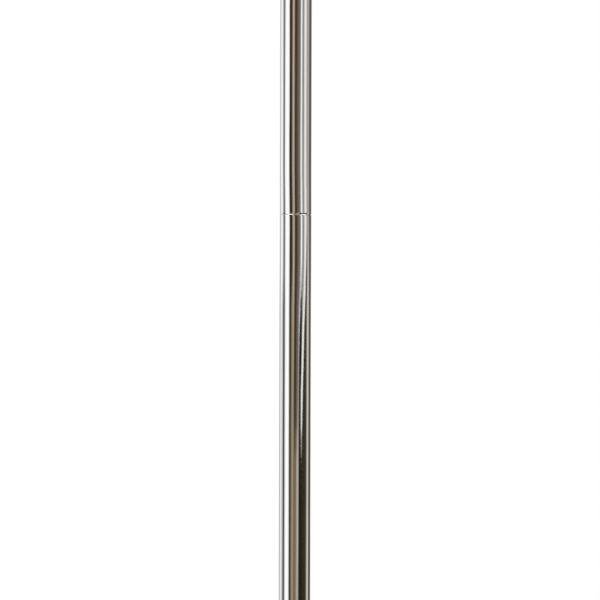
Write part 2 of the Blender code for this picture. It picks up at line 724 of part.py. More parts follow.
def base_bolt_mesh():
    """Hexagon bolt with a flange, up through the hub's floor into the pole's plug."""
    seat = HUB_BOTTOM + HUB_POCKET_DEPTH - CONTACT_GAP
    flange_bottom = seat - BASE_BOLT_FLANGE_HEIGHT
    head_bottom = flange_bottom - BASE_BOLT_HEAD_HEIGHT
    shank_top = LOWER_POLE_BOTTOM + BOLT_INTO_PLUG
    inside_shank = BASE_BOLT_DIAMETER / 4
    flange = ring(BASE_BOLT_FLANGE_DIAMETER / 2, inside_shank, flange_bottom, seat, SMALL_SIDES)
    overlap = BASE_BOLT_FLANGE_HEIGHT / 2
    return mesh_of(
        joined(
            cylinder(BASE_BOLT_DIAMETER / 2, (0, 0, flange_bottom + overlap), (0, 0, shank_top), SMALL_SIDES),
            flange,
            cylinder(
                BASE_BOLT_HEAD_DIAMETER / 2,
                (0, 0, head_bottom),
                (0, 0, flange_bottom + overlap),
                HEXAGON_SIDES,
            ),
        )
    )


def pole_plug_mesh():
    radius = fit_inside(OUTER_POLE_BORE, CONTACT_GAP, POLE_SIDES)
    return mesh_of(ring(radius, BASE_BOLT_BORE, LOWER_POLE_BOTTOM, POLE_PLUG_TOP, POLE_SIDES))


def tube_mesh(radius, wall, bottom, top):
    return mesh_of(ring(radius, radius - wall, bottom, top, POLE_SIDES))


def collar_mesh():
    """The moulded collar on the outer pole's end, with a side boss for the lock screw."""
    collar = turned(
        chamfered_disc(COLLAR_DIAMETER / 2, COLLAR_BOTTOM, COLLAR_TOP, COLLAR_EDGE), POLE_SIDES
    )
    boss = cylinder(LOCK_BOSS_DIAMETER / 2, (0, 0, LOCK_Z), (LOCK_BOSS_END, 0, LOCK_Z), TUBE_SIDES)
    bush_seat = COLLAR_TOP - BUSH_DEPTH - CONTACT_GAP
    return mesh_of(
        cut(
            joined(collar, boss),
            cylinder(
                POLE_SEAT_BORE,
                (0, 0, COLLAR_BOTTOM - COLLAR_EDGE),
                (0, 0, OUTER_POLE_TOP + CONTACT_GAP),
                POLE_SIDES,
            ),
            cylinder(INNER_GUIDE_BORE, (0, 0, COLLAR_BOTTOM), (0, 0, COLLAR_TOP), POLE_SIDES),
            cylinder(BUSH_SEAT_BORE, (0, 0, bush_seat), (0, 0, COLLAR_TOP + COLLAR_EDGE), POLE_SIDES),
            cylinder(LOCK_BORE, (0, 0, LOCK_Z), (LOCK_BOSS_END, 0, LOCK_Z), SMALL_SIDES),
            cylinder(
                INSERT_BORE,
                (INSERT_START - CONTACT_GAP, 0, LOCK_Z),
                (LOCK_BOSS_END + COLLAR_EDGE, 0, LOCK_Z),
                SMALL_SIDES,
            ),
        )
    )


def bush_mesh():
    """The flanged bush that the inner pole slides through."""
    flange, flange_bottom = BUSH_FLANGE_DIAMETER / 2, COLLAR_TOP + CONTACT_GAP
    return mesh_of(
        turned(
            [
                (flange, BUSH_TOP),
                (flange, flange_bottom),
                (BUSH_RADIUS, flange_bottom),
                (BUSH_RADIUS, COLLAR_TOP - BUSH_DEPTH),
                (INNER_GUIDE_BORE, COLLAR_TOP - BUSH_DEPTH),
                (INNER_GUIDE_BORE, BUSH_TOP),
            ],
            POLE_SIDES,
            ring=True,
        )
    )


# Turned about Z, then laid along X: the lock's pieces are made about the screw's own axis.
ALONG_X = Matrix.Rotation(math.pi / 2, 4, "Y")


def insert_mesh():
    return mesh_of(moved(ring(INSERT_RADIUS, LOCK_BORE, INSERT_START, LOCK_BOSS_END, SMALL_SIDES), ALONG_X))


def pad_mesh():
    radius = LOCK_SCREW_DIAMETER / 2
    return mesh_of(cylinder(radius, (PAD_START, 0, 0), (PAD_END, 0, 0), SMALL_SIDES))


def screw_mesh():
    radius = LOCK_SCREW_DIAMETER / 2
    return mesh_of(cylinder(radius, (SCREW_START, 0, 0), (SCREW_END, 0, 0), SMALL_SIDES))


def knob_mesh():
    """A lobed hand knob with a neck and a blind hole for the screw."""
    outline = []
    for number in range(KNOB_POINTS):
        angle = math.tau * number / KNOB_POINTS
        radius = KNOB_DIAMETER / 2 - KNOB_LOBE_DEPTH * (1 - math.cos(KNOB_LOBES * angle)) / 2
        outline.append((radius * math.cos(angle), radius * math.sin(angle)))
    grip_start = KNOB_START + KNOB_NECK_LENGTH
    middle = Matrix.Translation((0, 0, (grip_start + KNOB_END) / 2))
    grip = moved(plate(outline, KNOB_THICKNESS), ALONG_X @ middle)
    neck_end = grip_start + COLLAR_EDGE
    neck = cylinder(KNOB_NECK_DIAMETER / 2, (KNOB_START, 0, 0), (neck_end, 0, 0), TUBE_SIDES)
    bore = clear_bore(LOCK_SCREW_DIAMETER / 2, CONTACT_GAP, SMALL_SIDES)
    hole = cylinder(bore, (LOCK_BOSS_END, 0, 0), (SCREW_END + CONTACT_GAP, 0, 0), SMALL_SIDES)
    return mesh_of(cut(joined(grip, neck), hole))


def foot_mesh():
    """The plastic foot that guides the inner pole: a spigot inside it and a wider flange under it."""
    spigot = fit_inside(INNER_POLE_BORE, RUNNING_GAP, POLE_SIDES)
    return mesh_of(
        turned(
            [
                (0, FOOT_TOP + FOOT_SPIGOT_LENGTH),
                (spigot, FOOT_TOP + FOOT_SPIGOT_LENGTH),
                (spigot, FOOT_TOP),
                (FOOT_RADIUS, FOOT_TOP),
                (FOOT_RADIUS, FOOT_TOP - FOOT_FLANGE_LENGTH),
                (0, FOOT_TOP - FOOT_FLANGE_LENGTH),
            ],
            POLE_SIDES,
        )
    )


def head_mesh():
    """The turned head on the inner pole, with a socket for each hook and one for the cap."""
    head, skirt_bottom = HEAD_DIAMETER / 2, INNER_POLE_TOP - HEAD_SKIRT_LENGTH
    bore = clear_bore(INNER_POLE_RADIUS, CONTACT_GAP, POLE_SIDES)
    skirt = bore + HEAD_SKIRT_WALL
    blank = turned(
        [
            (0, HEAD_TOP),
            (head - HEAD_EDGE, HEAD_TOP),
            (head, HEAD_TOP - HEAD_EDGE),
            (head, INNER_POLE_TOP),
            (skirt, INNER_POLE_TOP - (head - skirt)),
            (skirt, skirt_bottom),
            (0, skirt_bottom),
        ],
        POLE_SIDES,
    )
    cutters = [
        cylinder(bore, (0, 0, skirt_bottom - HEAD_EDGE), (0, 0, HEAD_SEAT_Z), POLE_SIDES),
        cylinder(
            clear_bore(CAP_SPIGOT_DIAMETER / 2, CONTACT_GAP, SMALL_SIDES),
            (0, 0, HEAD_TOP - CAP_SPIGOT_LENGTH - CONTACT_GAP),
            (0, 0, HEAD_TOP + HEAD_EDGE),
            SMALL_SIDES,
        ),
    ]
    for number in range(HOOKS):
        angle = hook_angle(number)
        out = Vector((math.cos(angle), math.sin(angle), 0))
        level = Vector((0, 0, INNER_POLE_TOP + HOOK_HEIGHT))
        start = level + out * (head - HOOK_SOCKET_DEPTH - CONTACT_GAP)
        cutters.append(cylinder(HOOK_BORE, start, level + out * (head + HEAD_EDGE), SMALL_SIDES))
    return mesh_of(cut(blank, *cutters))


def hook_line():
    """The rod's middle line in X and Z, from its end in the head, as straights and arcs."""
    place = Vector((HEAD_DIAMETER / 2 - HOOK_SOCKET_DEPTH, 0, 0))
    heading = 0.0
    points = [place.copy()]
    for step in HOOK_ROUTE:
        if len(step) == 1:
            place = place + Vector((math.cos(heading), 0, math.sin(heading))) * step[0]
            points.append(place.copy())
            continue
        radius, turn = step[0], math.radians(step[1])
        side = math.copysign(1, turn)
        centre = place + Vector((-math.sin(heading), 0, math.cos(heading))) * radius * side
        count = math.ceil(abs(turn) / HOOK_ARC_STEP)
        for number in range(1, count + 1):
            at = heading + turn * number / count
            points.append(centre - Vector((-math.sin(at), 0, math.cos(at))) * radius * side)
        place = points[-1].copy()
        heading += turn
    return points


def hook_mesh():
    return mesh_of(rod(hook_line(), HOOK_ROD_DIAMETER / 2, HOOK_SIDES))


def cap_mesh():
    """A low dome with a spigot, which closes the head."""
    head, spigot = HEAD_DIAMETER / 2 - HEAD_EDGE, CAP_SPIGOT_DIAMETER / 2
    seat, spigot_bottom = HEAD_TOP + CONTACT_GAP, HEAD_TOP - CAP_SPIGOT_LENGTH
    rise = [math.radians(angle) for angle in range(90, -1, -ROUND_END_STEP)]
    dome = [(head * math.cos(angle), seat + CAP_HEIGHT * math.sin(angle)) for angle in rise]
    return mesh_of(
        turned(
            [*dome, (spigot, seat), (spigot, spigot_bottom), (0, spigot_bottom)],
            CAP_SIDES,
        )
    )


def leg_angle(number):
    """Leg 1 points along +Y, and the others follow anticlockwise."""
    return math.pi / 2 + math.tau * number / LEGS


def hook_angle(number):
    return math.tau * number / HOOKS


def build_base():
    piece("hub", hub_mesh(), CAST_ALUMINIUM)
    piece("hub_cover", hub_cover_mesh(), CHROME)
    piece("base_bolt", base_bolt_mesh(), ZINC)
    piece("pole_plug", pole_plug_mesh(), ZINC)
    leg, leg_end = leg_mesh(), leg_end_mesh()
    for number in range(LEGS):
        direction = axis_empty(f"leg_axis_{number + 1}", turn=leg_angle(number))
        piece(f"leg_{number + 1}", leg, CHROME, direction)
        piece(f"leg_end_{number + 1}", leg_end, BLACK_NYLON, direction)


def build_casters():
    """Each caster trails towards -Y, as after a push along +Y."""
    stem, axle, rim, tyre = stem_mesh(), axle_mesh(), rim_mesh(), tyre_mesh()
    forks = {braked: fork_mesh(braked) for braked in (False, True)}
    pedal, pin = pedal_mesh(), brake_pin_mesh()
    for number in range(LEGS):
        label, angle = number + 1, leg_angle(number)
        braked = label in BRAKED_CASTERS
        foot = (LEG_REACH * math.cos(angle), LEG_REACH * math.sin(angle), 0)
        swivel = axis_empty(f"swivel_axis_{label}", foot, turn=-math.pi / 2)
        wheel = axis_empty(f"wheel_axis_{label}", (CASTER_TRAIL, 0, AXLE_Z), parent=swivel)
        piece(f"caster_stem_{label}", stem, ZINC, swivel)
        piece(f"fork_{label}", forks[braked], ZINC, swivel)
        piece(f"axle_{label}", axle, ZINC, wheel)
        piece(f"rim_{label}", rim, RIM_PLASTIC, wheel)
        piece(f"tyre_{label}", tyre, GREY_RUBBER, wheel)
        if braked:
            pivot = axis_empty(f"brake_axis_{label}", (BRAKE_PIN_X, 0, BRAKE_PIN_Z), parent=swivel)
            piece(f"brake_pin_{label}", pin, ZINC, pivot)
            piece(f"brake_pedal_{label}", pedal, PEDAL_PLASTIC, pivot)


def build_outer_pole():
    radius, wall = OUTER_POLE_RADIUS, OUTER_POLE_WALL
    half = JOINT_SLEEVE_LENGTH / 2
    piece("lower_pole", tube_mesh(radius, wall, LOWER_POLE_BOTTOM, SEAM_Z), CHROME)
    piece("upper_pole", tube_mesh(radius, wall, UPPER_POLE_BOTTOM, OUTER_POLE_TOP), CHROME)
    sleeve = tube_mesh(SLEEVE_RADIUS, JOINT_SLEEVE_WALL, SEAM_Z - half, SEAM_Z + half)
    piece("joint_sleeve", sleeve, ZINC)


def build_height_lock():
    piece("collar", collar_mesh(), BLACK_NYLON)
    piece("collar_bush", bush_mesh(), WHITE_NYLON)
    screw_axis = axis_empty("lock_screw_axis", (0, 0, LOCK_Z))
    piece("thread_insert", insert_mesh(), BRASS, screw_axis)
    piece("pressure_pad", pad_mesh(), WHITE_NYLON, screw_axis)
    piece("lock_screw", screw_mesh(), ZINC, screw_axis)
    piece("lock_knob", knob_mesh(), BLACK_NYLON, screw_axis)


def build_hook_pole():
    piece(
        "inner_pole",
        tube_mesh(INNER_POLE_RADIUS, INNER_POLE_WALL, INNER_POLE_BOTTOM, INNER_POLE_TOP),
        CHROME,
    )
    piece("inner_pole_foot", foot_mesh(), WHITE_NYLON)
    piece("hook_head", head_mesh(), CHROME)
    piece("head_cap", cap_mesh(), BLACK_NYLON)
    hook = hook_mesh()
    for number in range(HOOKS):
        root = (0, 0, INNER_POLE_TOP + HOOK_HEIGHT)
        direction = axis_empty(f"hook_axis_{number + 1}", root, turn=hook_angle(number))
        piece(f"hook_{number + 1}", hook, CHROME, direction)


build_base()
build_casters()
build_outer_pole()
build_height_lock()
build_hook_pole()
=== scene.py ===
import math
from functools import partial

import bmesh
import bpy
from mathutils import Matrix, Vector


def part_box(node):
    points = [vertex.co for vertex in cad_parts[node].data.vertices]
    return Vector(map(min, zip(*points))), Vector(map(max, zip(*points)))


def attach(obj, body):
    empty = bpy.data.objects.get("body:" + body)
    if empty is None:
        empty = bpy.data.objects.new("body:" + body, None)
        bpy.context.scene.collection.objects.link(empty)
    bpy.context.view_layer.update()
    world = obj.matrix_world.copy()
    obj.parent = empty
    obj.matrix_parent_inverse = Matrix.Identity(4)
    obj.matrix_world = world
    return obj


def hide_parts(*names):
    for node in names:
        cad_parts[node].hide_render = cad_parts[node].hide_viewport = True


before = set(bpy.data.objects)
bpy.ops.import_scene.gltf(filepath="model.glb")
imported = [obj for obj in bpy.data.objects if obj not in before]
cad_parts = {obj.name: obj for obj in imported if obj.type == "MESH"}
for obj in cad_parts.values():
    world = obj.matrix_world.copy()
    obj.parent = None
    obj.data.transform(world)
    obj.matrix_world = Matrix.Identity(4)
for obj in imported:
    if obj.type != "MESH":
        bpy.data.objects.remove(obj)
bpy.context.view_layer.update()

mm = 0.001
legCount = 5
hookCount = 4
brakedCasters = (2, 5)
workbench = bpy.data.collections.new("workbench")  # blanks and cutters, emptied as they are used
bpy.context.scene.collection.children.link(workbench)


def linearColour(hexCode):
    # an sRGB hex value as the linear numbers that a shader takes
    parts = [int(hexCode[i:i + 2], 16) / 255 for i in (1, 3, 5)]
    return [c / 12.92 if c < 0.04045 else ((c + 0.055) / 1.055) ** 2.4 for c in parts] + [1.0]


def addNode(tree, kind, inputs=None, **settings):
    # a node given as an input stands for its first output
    node = tree.nodes.new(kind)
    for key, value in settings.items():
        setattr(node, key, value)
    for key, value in (inputs or {}).items():
        if isinstance(value, bpy.types.Node):
            value = value.outputs[0]
        if isinstance(value, bpy.types.NodeSocket):
            tree.links.new(value, node.inputs[key])
        else:
            node.inputs[key].default_value = value
    return node


# Materials

def newSurface(name, hexCode, metallic, roughness):
    material = bpy.data.materials.new(name)
    material.use_nodes = True
    shader = material.node_tree.nodes["Principled BSDF"]
    shader.inputs["Base Color"].default_value = linearColour(hexCode)
    shader.inputs["Metallic"].default_value = metallic
    shader.inputs["Roughness"].default_value = roughness
    return material, material.node_tree, shader


def objectPlace(tree):
    return addNode(tree, "ShaderNodeTexCoord").outputs["Object"]


def alongPiece(tree, stretch):
    # the piece's own grain attribute, drawn out along its length
    grain = addNode(tree, "ShaderNodeAttribute", attribute_name="grain").outputs["Vector"]
    return addNode(tree, "ShaderNodeMapping", {"Vector": grain, "Scale": (1, 1, stretch)}).outputs[0]


def mottle(tree, place, size, low, high, detail=3.0, spread=0.25):
    # soft blotches this many mm across, as numbers between low and high
    noise = addNode(tree, "ShaderNodeTexNoise", {"Vector": place, "Scale": 1 / (size * mm), "Detail": detail})
    return addNode(tree, "ShaderNodeMapRange", {
        "Value": noise, "From Min": 0.5 - spread, "From Max": 0.5 + spread,
        "To Min": low, "To Max": high}).outputs[0]


def tint(tree, amount, first, second):
    return addNode(tree, "ShaderNodeMix", {
        0: amount, 6: linearColour(first), 7: linearColour(second)}, data_type="RGBA").outputs[2]


def relief(tree, shader, height, depth, under=None):
    # height times depth, in mm, as a change of the surface's slope
    inputs = {"Height": height, "Distance": depth * mm, "Strength": 1.0}
    if under:
        inputs["Normal"] = under
    bump = addNode(tree, "ShaderNodeBump", inputs).outputs[0]
    tree.links.new(bump, shader.inputs["Normal"])
    return bump


def chromePlatedTube():
    # Drawn steel tube, belt polished, then bright nickel and chrome: a mirror whose reflections
    # shiver a little along faint draw lines
    material, tree, shader = newSurface("chromePlatedTube", "#F4F4F5", 1.0, 0.05)
    lines = mottle(tree, alongPiece(tree, 0.012), 1.3, 0.0, 1.0, 2.0)
    ripple = mottle(tree, alongPiece(tree, 0.3), 7.0, 0.0, 1.0, 1.0)
    pits = mottle(tree, alongPiece(tree, 0.7), 1.1, 0.0, 1.0, 2.0)
    under = relief(tree, shader, ripple, 0.014)
    relief(tree, shader, pits, 0.0011, relief(tree, shader, lines, 0.0012, under))
    tree.links.new(mottle(tree, alongPiece(tree, 0.02), 2.0, 0.03, 0.075, 4.0), shader.inputs["Roughness"])
    return material


def cloudedSurface(name, hexCode, metallic, roughness, gloss, clouds=None, grain=(), refraction=None):
    # gloss: mm across, low, high, detail; clouds: mm across, detail, two colours, and how soon they saturate;
    # grain, from the deepest layer up: mm across, detail, depth in mm
    material, tree, shader = newSurface(name, hexCode, metallic, roughness)
    place = objectPlace(tree)
    if clouds:
        across, detail, first, second, *spread = clouds
        tree.links.new(tint(tree, mottle(tree, place, across, 0.0, 1.0, detail, *spread), first, second),
                       shader.inputs["Base Color"])
    tree.links.new(mottle(tree, place, *gloss), shader.inputs["Roughness"])
    under = None
    for across, detail, depth in grain:
        under = relief(tree, shader, mottle(tree, place, across, 0.0, 1.0, detail), depth, under)
    if refraction:
        shader.inputs["IOR"].default_value = refraction
    return material


def turnedBrass():
    # Free-cutting brass off the lathe: fine rings and a warm yellow
    material, tree, shader = newSurface("turnedBrass", "#C9A75A", 1.0, 0.25)
    tree.links.new(mottle(tree, alongPiece(tree, 6.0), 1.0, 0.2, 0.36), shader.inputs["Roughness"])
    return material


chromeTube = chromePlatedTube()
# Turned or bent steel, buffed on a wheel and plated: as bright as the tube, with softer, rounder ripples
chromeFitting = cloudedSurface("chromePlatedFitting", "#F0F0F1", 1.0, 0.06, gloss=(1.5, 0.04, 0.1, 4.0),
                               grain=[(4.0, 2.0, 0.004)])
# Pressed or headed steel, barrel plated with clear zinc: dull silver with a faint blue and straw cloudiness
zincSteel = cloudedSurface("zincPlatedSteel", "#BFC1C3", 1.0, 0.3, gloss=(1.2, 0.22, 0.42, 5.0),
                           clouds=(9.0, 4.0, "#B7BCC2", "#C6C3B9"), grain=[(0.6, 4.0, 0.012)])
# Gravity-cast aluminium, bead blasted and lacquered: an even, fine, slightly pitted grey
castAluminium = cloudedSurface("blastedCastAluminium", "#A7A9AB", 1.0, 0.42, gloss=(2.0, 0.36, 0.5, 5.0),
                               clouds=(14.0, 5.0, "#9B9DA0", "#B2B4B5"),
                               grain=[(6.0, 2.0, 0.09), (0.5, 3.0, 0.05)])
brass = turnedBrass()
# Glass-filled nylon from a spark-eroded mould: near black, with a fine dry grain and a low sheen
blackNylon = cloudedSurface("mouldedBlackNylon", "#1B1B1D", 0.0, 0.48, gloss=(1.6, 0.4, 0.58, 4.0),
                            clouds=(8.0, 4.0, "#18181A", "#222224"), grain=[(0.35, 2.0, 0.03)], refraction=1.53)
# Natural nylon: milky, smooth and a little waxy
whiteNylon = cloudedSurface("mouldedWhiteNylon", "#E4E1D6", 0.0, 0.35, gloss=(1.5, 0.3, 0.42),
                            clouds=(6.0, 3.0, "#E9E6DC", "#DCD8CB"), refraction=1.53)
# Wheel centre in grey polypropylene: satin, cloudy grey with a very fine grain
wheelPlastic = cloudedSurface("mouldedPolypropylene", "#9A9C9E", 0.0, 0.4, gloss=(2.0, 0.34, 0.5),
                              clouds=(10.0, 5.0, "#929497", "#A3A5A6"), grain=[(0.5, 3.0, 0.015)],
                              refraction=1.49)
# Non-marking grey thermoplastic rubber: matt, with a little pale dust in patches
tyreRubber = cloudedSurface("greyTyreRubber", "#55575A", 0.0, 0.7, gloss=(3.0, 0.6, 0.82, 5.0),
                            clouds=(11.0, 6.0, "#4D4F52", "#6A6B6B", 0.18), grain=[(0.7, 4.0, 0.05)],
                            refraction=1.5)
# Brake pedals in coloured nylon: even and glossy, rubbed duller where a shoe presses
redNylon = cloudedSurface("mouldedRedNylon", "#A3211C", 0.0, 0.32, gloss=(3.0, 0.25, 0.5, 5.0),
                          clouds=(7.0, 4.0, "#98201B", "#AD2A22"), grain=[(0.4, 3.0, 0.02)], refraction=1.53)
print("materials ready")


# Shapes

def shift(x=0.0, y=0.0, z=0.0):
    return Matrix.Translation((x * mm, y * mm, z * mm))


def quarterTurn(axis):
    return Matrix.Rotation(math.pi / 2, 4, axis)


def keepGrain(mesh):
    # the place of every point before the piece is put on the stand, so that a pattern follows the piece
    grain = mesh.attributes.get("grain") or mesh.attributes.new("grain", "FLOAT_VECTOR", "POINT")
    grain.data.foreach_set("vector", [c for v in mesh.vertices for c in v.co])
    return mesh


def meshFrom(bm, name):
    mesh = bpy.data.meshes.new(name)
    bm.to_mesh(mesh)
    bm.free()
    return mesh


def rounded(outline, closed, steps):
    # corners given as (x, y, radius) become arcs
    count = len(outline)
    points = []
    for i, corner in enumerate(outline):
        here = Vector(corner[:2])
        radius = corner[2] if len(corner) > 2 else 0
        if not radius or (not closed and i in (0, count - 1)):
            points.append(here)
            continue
        back = Vector(outline[i - 1][:2]) - here
        ahead = Vector(outline[(i + 1) % count][:2]) - here
        halfAngle = back.angle(ahead) / 2
        reach = min(radius / math.tan(halfAngle), 0.48 * back.length, 0.48 * ahead.length)
        radius = reach * math.tan(halfAngle)
        start, end = here + back.normalized() * reach, here + ahead.normalized() * reach
        centre = here + (back.normalized() + ahead.normalized()).normalized() * radius / math.sin(halfAngle)
        first, last = start - centre, end - centre
        sweep = first.angle_signed(last)
        for step in range(steps + 1):
            turn = Matrix.Rotation(-sweep * step / steps, 2)
            points.append(centre + turn @ first)
    return points


def mirrored(half):
    # a profile and its reflection below height 0
    return half + [(radius, -height, *corner) for radius, height, *corner in half[::-1]]


def turnedMesh(name, outline, sides=72, ring=False, steps=4):
    # a profile of (radius, height, corner) in mm, turned about Z; a ring's profile closes on itself
    bm = bmesh.new()
    verts = [bm.verts.new((p.x * mm, 0, p.y * mm)) for p in rounded(outline, ring, steps)]
    edges = [bm.edges.new(pair) for pair in zip(verts, verts[1:])]
    if ring:
        edges.append(bm.edges.new((verts[-1], verts[0])))
    bmesh.ops.spin(bm, geom=verts + edges, axis=(0, 0, 1), cent=(0, 0, 0), angle=math.tau, steps=sides,
                   use_merge=True)
    bmesh.ops.remove_doubles(bm, verts=bm.verts, dist=0.002 * mm)
    bmesh.ops.recalc_face_normals(bm, faces=bm.faces)
    return keepGrain(meshFrom(bm, name))


def plateMesh(name, outline, low, high):
    # a flat outline in X and Y, in mm, between two heights
    bm = bmesh.new()
    points = rounded(outline, True, 5)
    floor = bm.faces.new([bm.verts.new((p.x * mm, p.y * mm, low * mm)) for p in points])
    raised = bmesh.ops.extrude_face_region(bm, geom=[floor])["geom"]
    bmesh.ops.translate(bm, vec=(0, 0, (high - low) * mm),
                        verts=[g for g in raised if isinstance(g, bmesh.types.BMVert)])
    bmesh.ops.recalc_face_normals(bm, faces=bm.faces)
    return meshFrom(bm, name)


def rodMesh(name, radius, start, end, sides=48):
    start, end = Vector(start) * mm, Vector(end) * mm
    turn = (end - start).to_track_quat("Z", "Y").to_matrix().to_4x4()
    bm = bmesh.new()
    bmesh.ops.create_cone(bm, cap_ends=True, segments=sides, radius1=radius * mm, radius2=radius * mm,
                          depth=(end - start).length, matrix=Matrix.Translation((start + end) / 2) @ turn)
    return meshFrom(bm, name)


def onBench(mesh):
    obj = bpy.data.objects.new(mesh.name, mesh)
    workbench.objects.link(obj)
    return obj


def offBench(obj):
    # the mesh with its modifiers applied; the object is removed
    bpy.context.view_layer.update()
    mesh = bpy.data.meshes.new_from_object(obj.evaluated_get(bpy.context.evaluated_depsgraph_get()))
    mesh.name = obj.name
    bpy.data.objects.remove(obj)
    return mesh


def combined(mesh, others, operation):
    obj = onBench(mesh)
    helpers = [onBench(other) for other in others]
    for helper in helpers:
        boolean = obj.modifiers.new("cut", "BOOLEAN")
        boolean.object = helper
        boolean.operation = operation
        boolean.solver = "EXACT"
    result = offBench(obj)
    for helper in helpers:
        bpy.data.objects.remove(helper)
    return result


def castMesh(mesh, others, grain, smoothing):
    # pieces grown together with soft inside corners, as they leave a mould
    obj = onBench(combined(mesh, others, "UNION"))
    remesh = obj.modifiers.new("skin", "REMESH")
    remesh.mode = "VOXEL"
    remesh.voxel_size = grain * mm
    smooth = obj.modifiers.new("soften", "SMOOTH")
    smooth.factor = 0.5
    smooth.iterations = smoothing
    return offBench(obj)


def edgedMesh(mesh, width):
    # broken edges all round
    obj = onBench(mesh)
    bevel = obj.modifiers.new("edge", "BEVEL")
    bevel.width = width * mm
    bevel.segments = 2
    bevel.limit_method = "ANGLE"
    bevel.angle_limit = math.radians(35)
    bevel.use_clamp_overlap = True
    return offBench(obj)


def joinedMesh(name, meshes):
    bm = bmesh.new()
    for mesh in meshes:
        bm.from_mesh(mesh)
    return meshFrom(bm, name)


def joinedCopies(name, mesh, places):
    copies = []
    for where in places:
        copies.append(mesh.copy())
        copies[-1].transform(where)
    return joinedMesh(name, copies)


# Geometry Nodes: trees for rods along a path, rings and rows of small features, and a thread

def startTree(name, sizes):
    tree = bpy.data.node_groups.new(name, "GeometryNodeTree")
    tree.interface.new_socket("Geometry", in_out="INPUT", socket_type="NodeSocketGeometry")
    for label, value in sizes.items():
        kind = "NodeSocketInt" if isinstance(value, int) else "NodeSocketFloat"
        tree.interface.new_socket(label, in_out="INPUT", socket_type=kind).default_value = value
    tree.interface.new_socket("Geometry", in_out="OUTPUT", socket_type="NodeSocketGeometry")
    return tree, partial(addNode, tree), addNode(tree, "NodeGroupInput").outputs


def endTree(tree, geometry, material):
    real = addNode(tree, "GeometryNodeRealizeInstances", {"Geometry": geometry})
    finish = addNode(tree, "GeometryNodeSetMaterial", {"Geometry": real, "Material": material})
    addNode(tree, "NodeGroupOutput", {"Geometry": finish})
    return tree


def grownMesh(name, tree, sizes, source=None):
    obj = onBench(source or bpy.data.meshes.new(name))
    obj.name = name
    modifier = obj.modifiers.new("grow", "NODES")
    modifier.node_group = tree
    for item in tree.interface.items_tree:
        if item.in_out == "INPUT" and item.name in sizes:
            modifier[item.identifier] = sizes[item.name]
    return offBench(obj)


def bentRodTree(material):
    # a round section swept along the object's own line of points, with domed ends
    tree, add, sizes = startTree("bentRod", {"Radius": 0.003, "Sides": 32, "Dome": 0.0})
    line = add("GeometryNodeMeshToCurve", {"Mesh": sizes["Geometry"]})
    along = add("GeometryNodeSplineParameter").outputs["Length"]
    whole = add("GeometryNodeSplineLength").outputs["Length"]
    left = add("ShaderNodeMath", {0: whole, 1: along}, operation="SUBTRACT")
    nearest = add("ShaderNodeMath", {0: left, 1: along}, operation="MINIMUM")
    near = add("ShaderNodeMath", {0: nearest, 1: sizes["Radius"]}, operation="DIVIDE", use_clamp=True)
    inside = add("ShaderNodeMath", {0: 1.0, 1: near}, operation="SUBTRACT")
    squared = add("ShaderNodeMath", {0: inside, 1: inside}, operation="MULTIPLY")
    domed = add("ShaderNodeMath", {0: squared, 1: sizes["Dome"]}, operation="MULTIPLY")
    rest = add("ShaderNodeMath", {0: 1.0, 1: domed}, operation="SUBTRACT")
    width = add("ShaderNodeMath", {0: rest}, operation="SQRT")
    kept = add("GeometryNodeCaptureAttribute", {"Geometry": line})
    kept.capture_items.new("FLOAT", "along")
    tree.links.new(along, kept.inputs[1])
    circle = add("GeometryNodeCurvePrimitiveCircle", {
        "Resolution": sizes["Sides"], "Radius": sizes["Radius"]})
    section = add("GeometryNodeCaptureAttribute", {"Geometry": circle})
    section.capture_items.new("VECTOR", "section")
    tree.links.new(add("GeometryNodeInputPosition").outputs[0], section.inputs[1])
    skin = add("GeometryNodeCurveToMesh", {
        "Curve": kept, "Profile Curve": section, "Scale": width, "Fill Caps": True})
    split = add("ShaderNodeSeparateXYZ", {0: section.outputs[1]}).outputs
    grain = add("ShaderNodeCombineXYZ", {0: split[0], 1: split[1], 2: kept.outputs[1]})
    stored = add("GeometryNodeStoreNamedAttribute", {
        "Geometry": skin, "Name": "grain", "Value": grain}, data_type="FLOAT_VECTOR", domain="POINT")
    return endTree(tree, stored, material)


def ringTree(material, feature):
    # a straight rib or a rounded bead repeated round Z, each facing outwards
    tree, add, sizes = startTree(feature + "Ring", {
        "Count": 12, "Ring radius": 0.01, "Length": 0.004, "Width": 0.001, "Height": 0.004, "Level": 0.0})
    ring = add("GeometryNodeMeshCircle", {"Vertices": sizes["Count"], "Radius": sizes["Ring radius"]})
    size = add("ShaderNodeCombineXYZ", {0: sizes["Length"], 1: sizes["Width"], 2: sizes["Height"]})
    if feature == "rib":
        shape = add("GeometryNodeMeshCube", {"Size": size})
    else:
        ball = add("GeometryNodeMeshIcoSphere", {"Radius": 1.0, "Subdivisions": 3})
        shape = add("GeometryNodeTransform", {"Geometry": ball, "Scale": size})
    place = add("GeometryNodeInputPosition")
    outwards = add("FunctionNodeAlignEulerToVector", {"Vector": place}, axis="X")
    copies = add("GeometryNodeInstanceOnPoints", {"Points": ring, "Instance": shape, "Rotation": outwards})
    lift = add("ShaderNodeCombineXYZ", {2: sizes["Level"]})
    level = add("GeometryNodeSetPosition", {"Geometry": copies, "Offset": lift})
    return endTree(tree, add("GeometryNodeSetShadeSmooth", {"Geometry": level}), material)


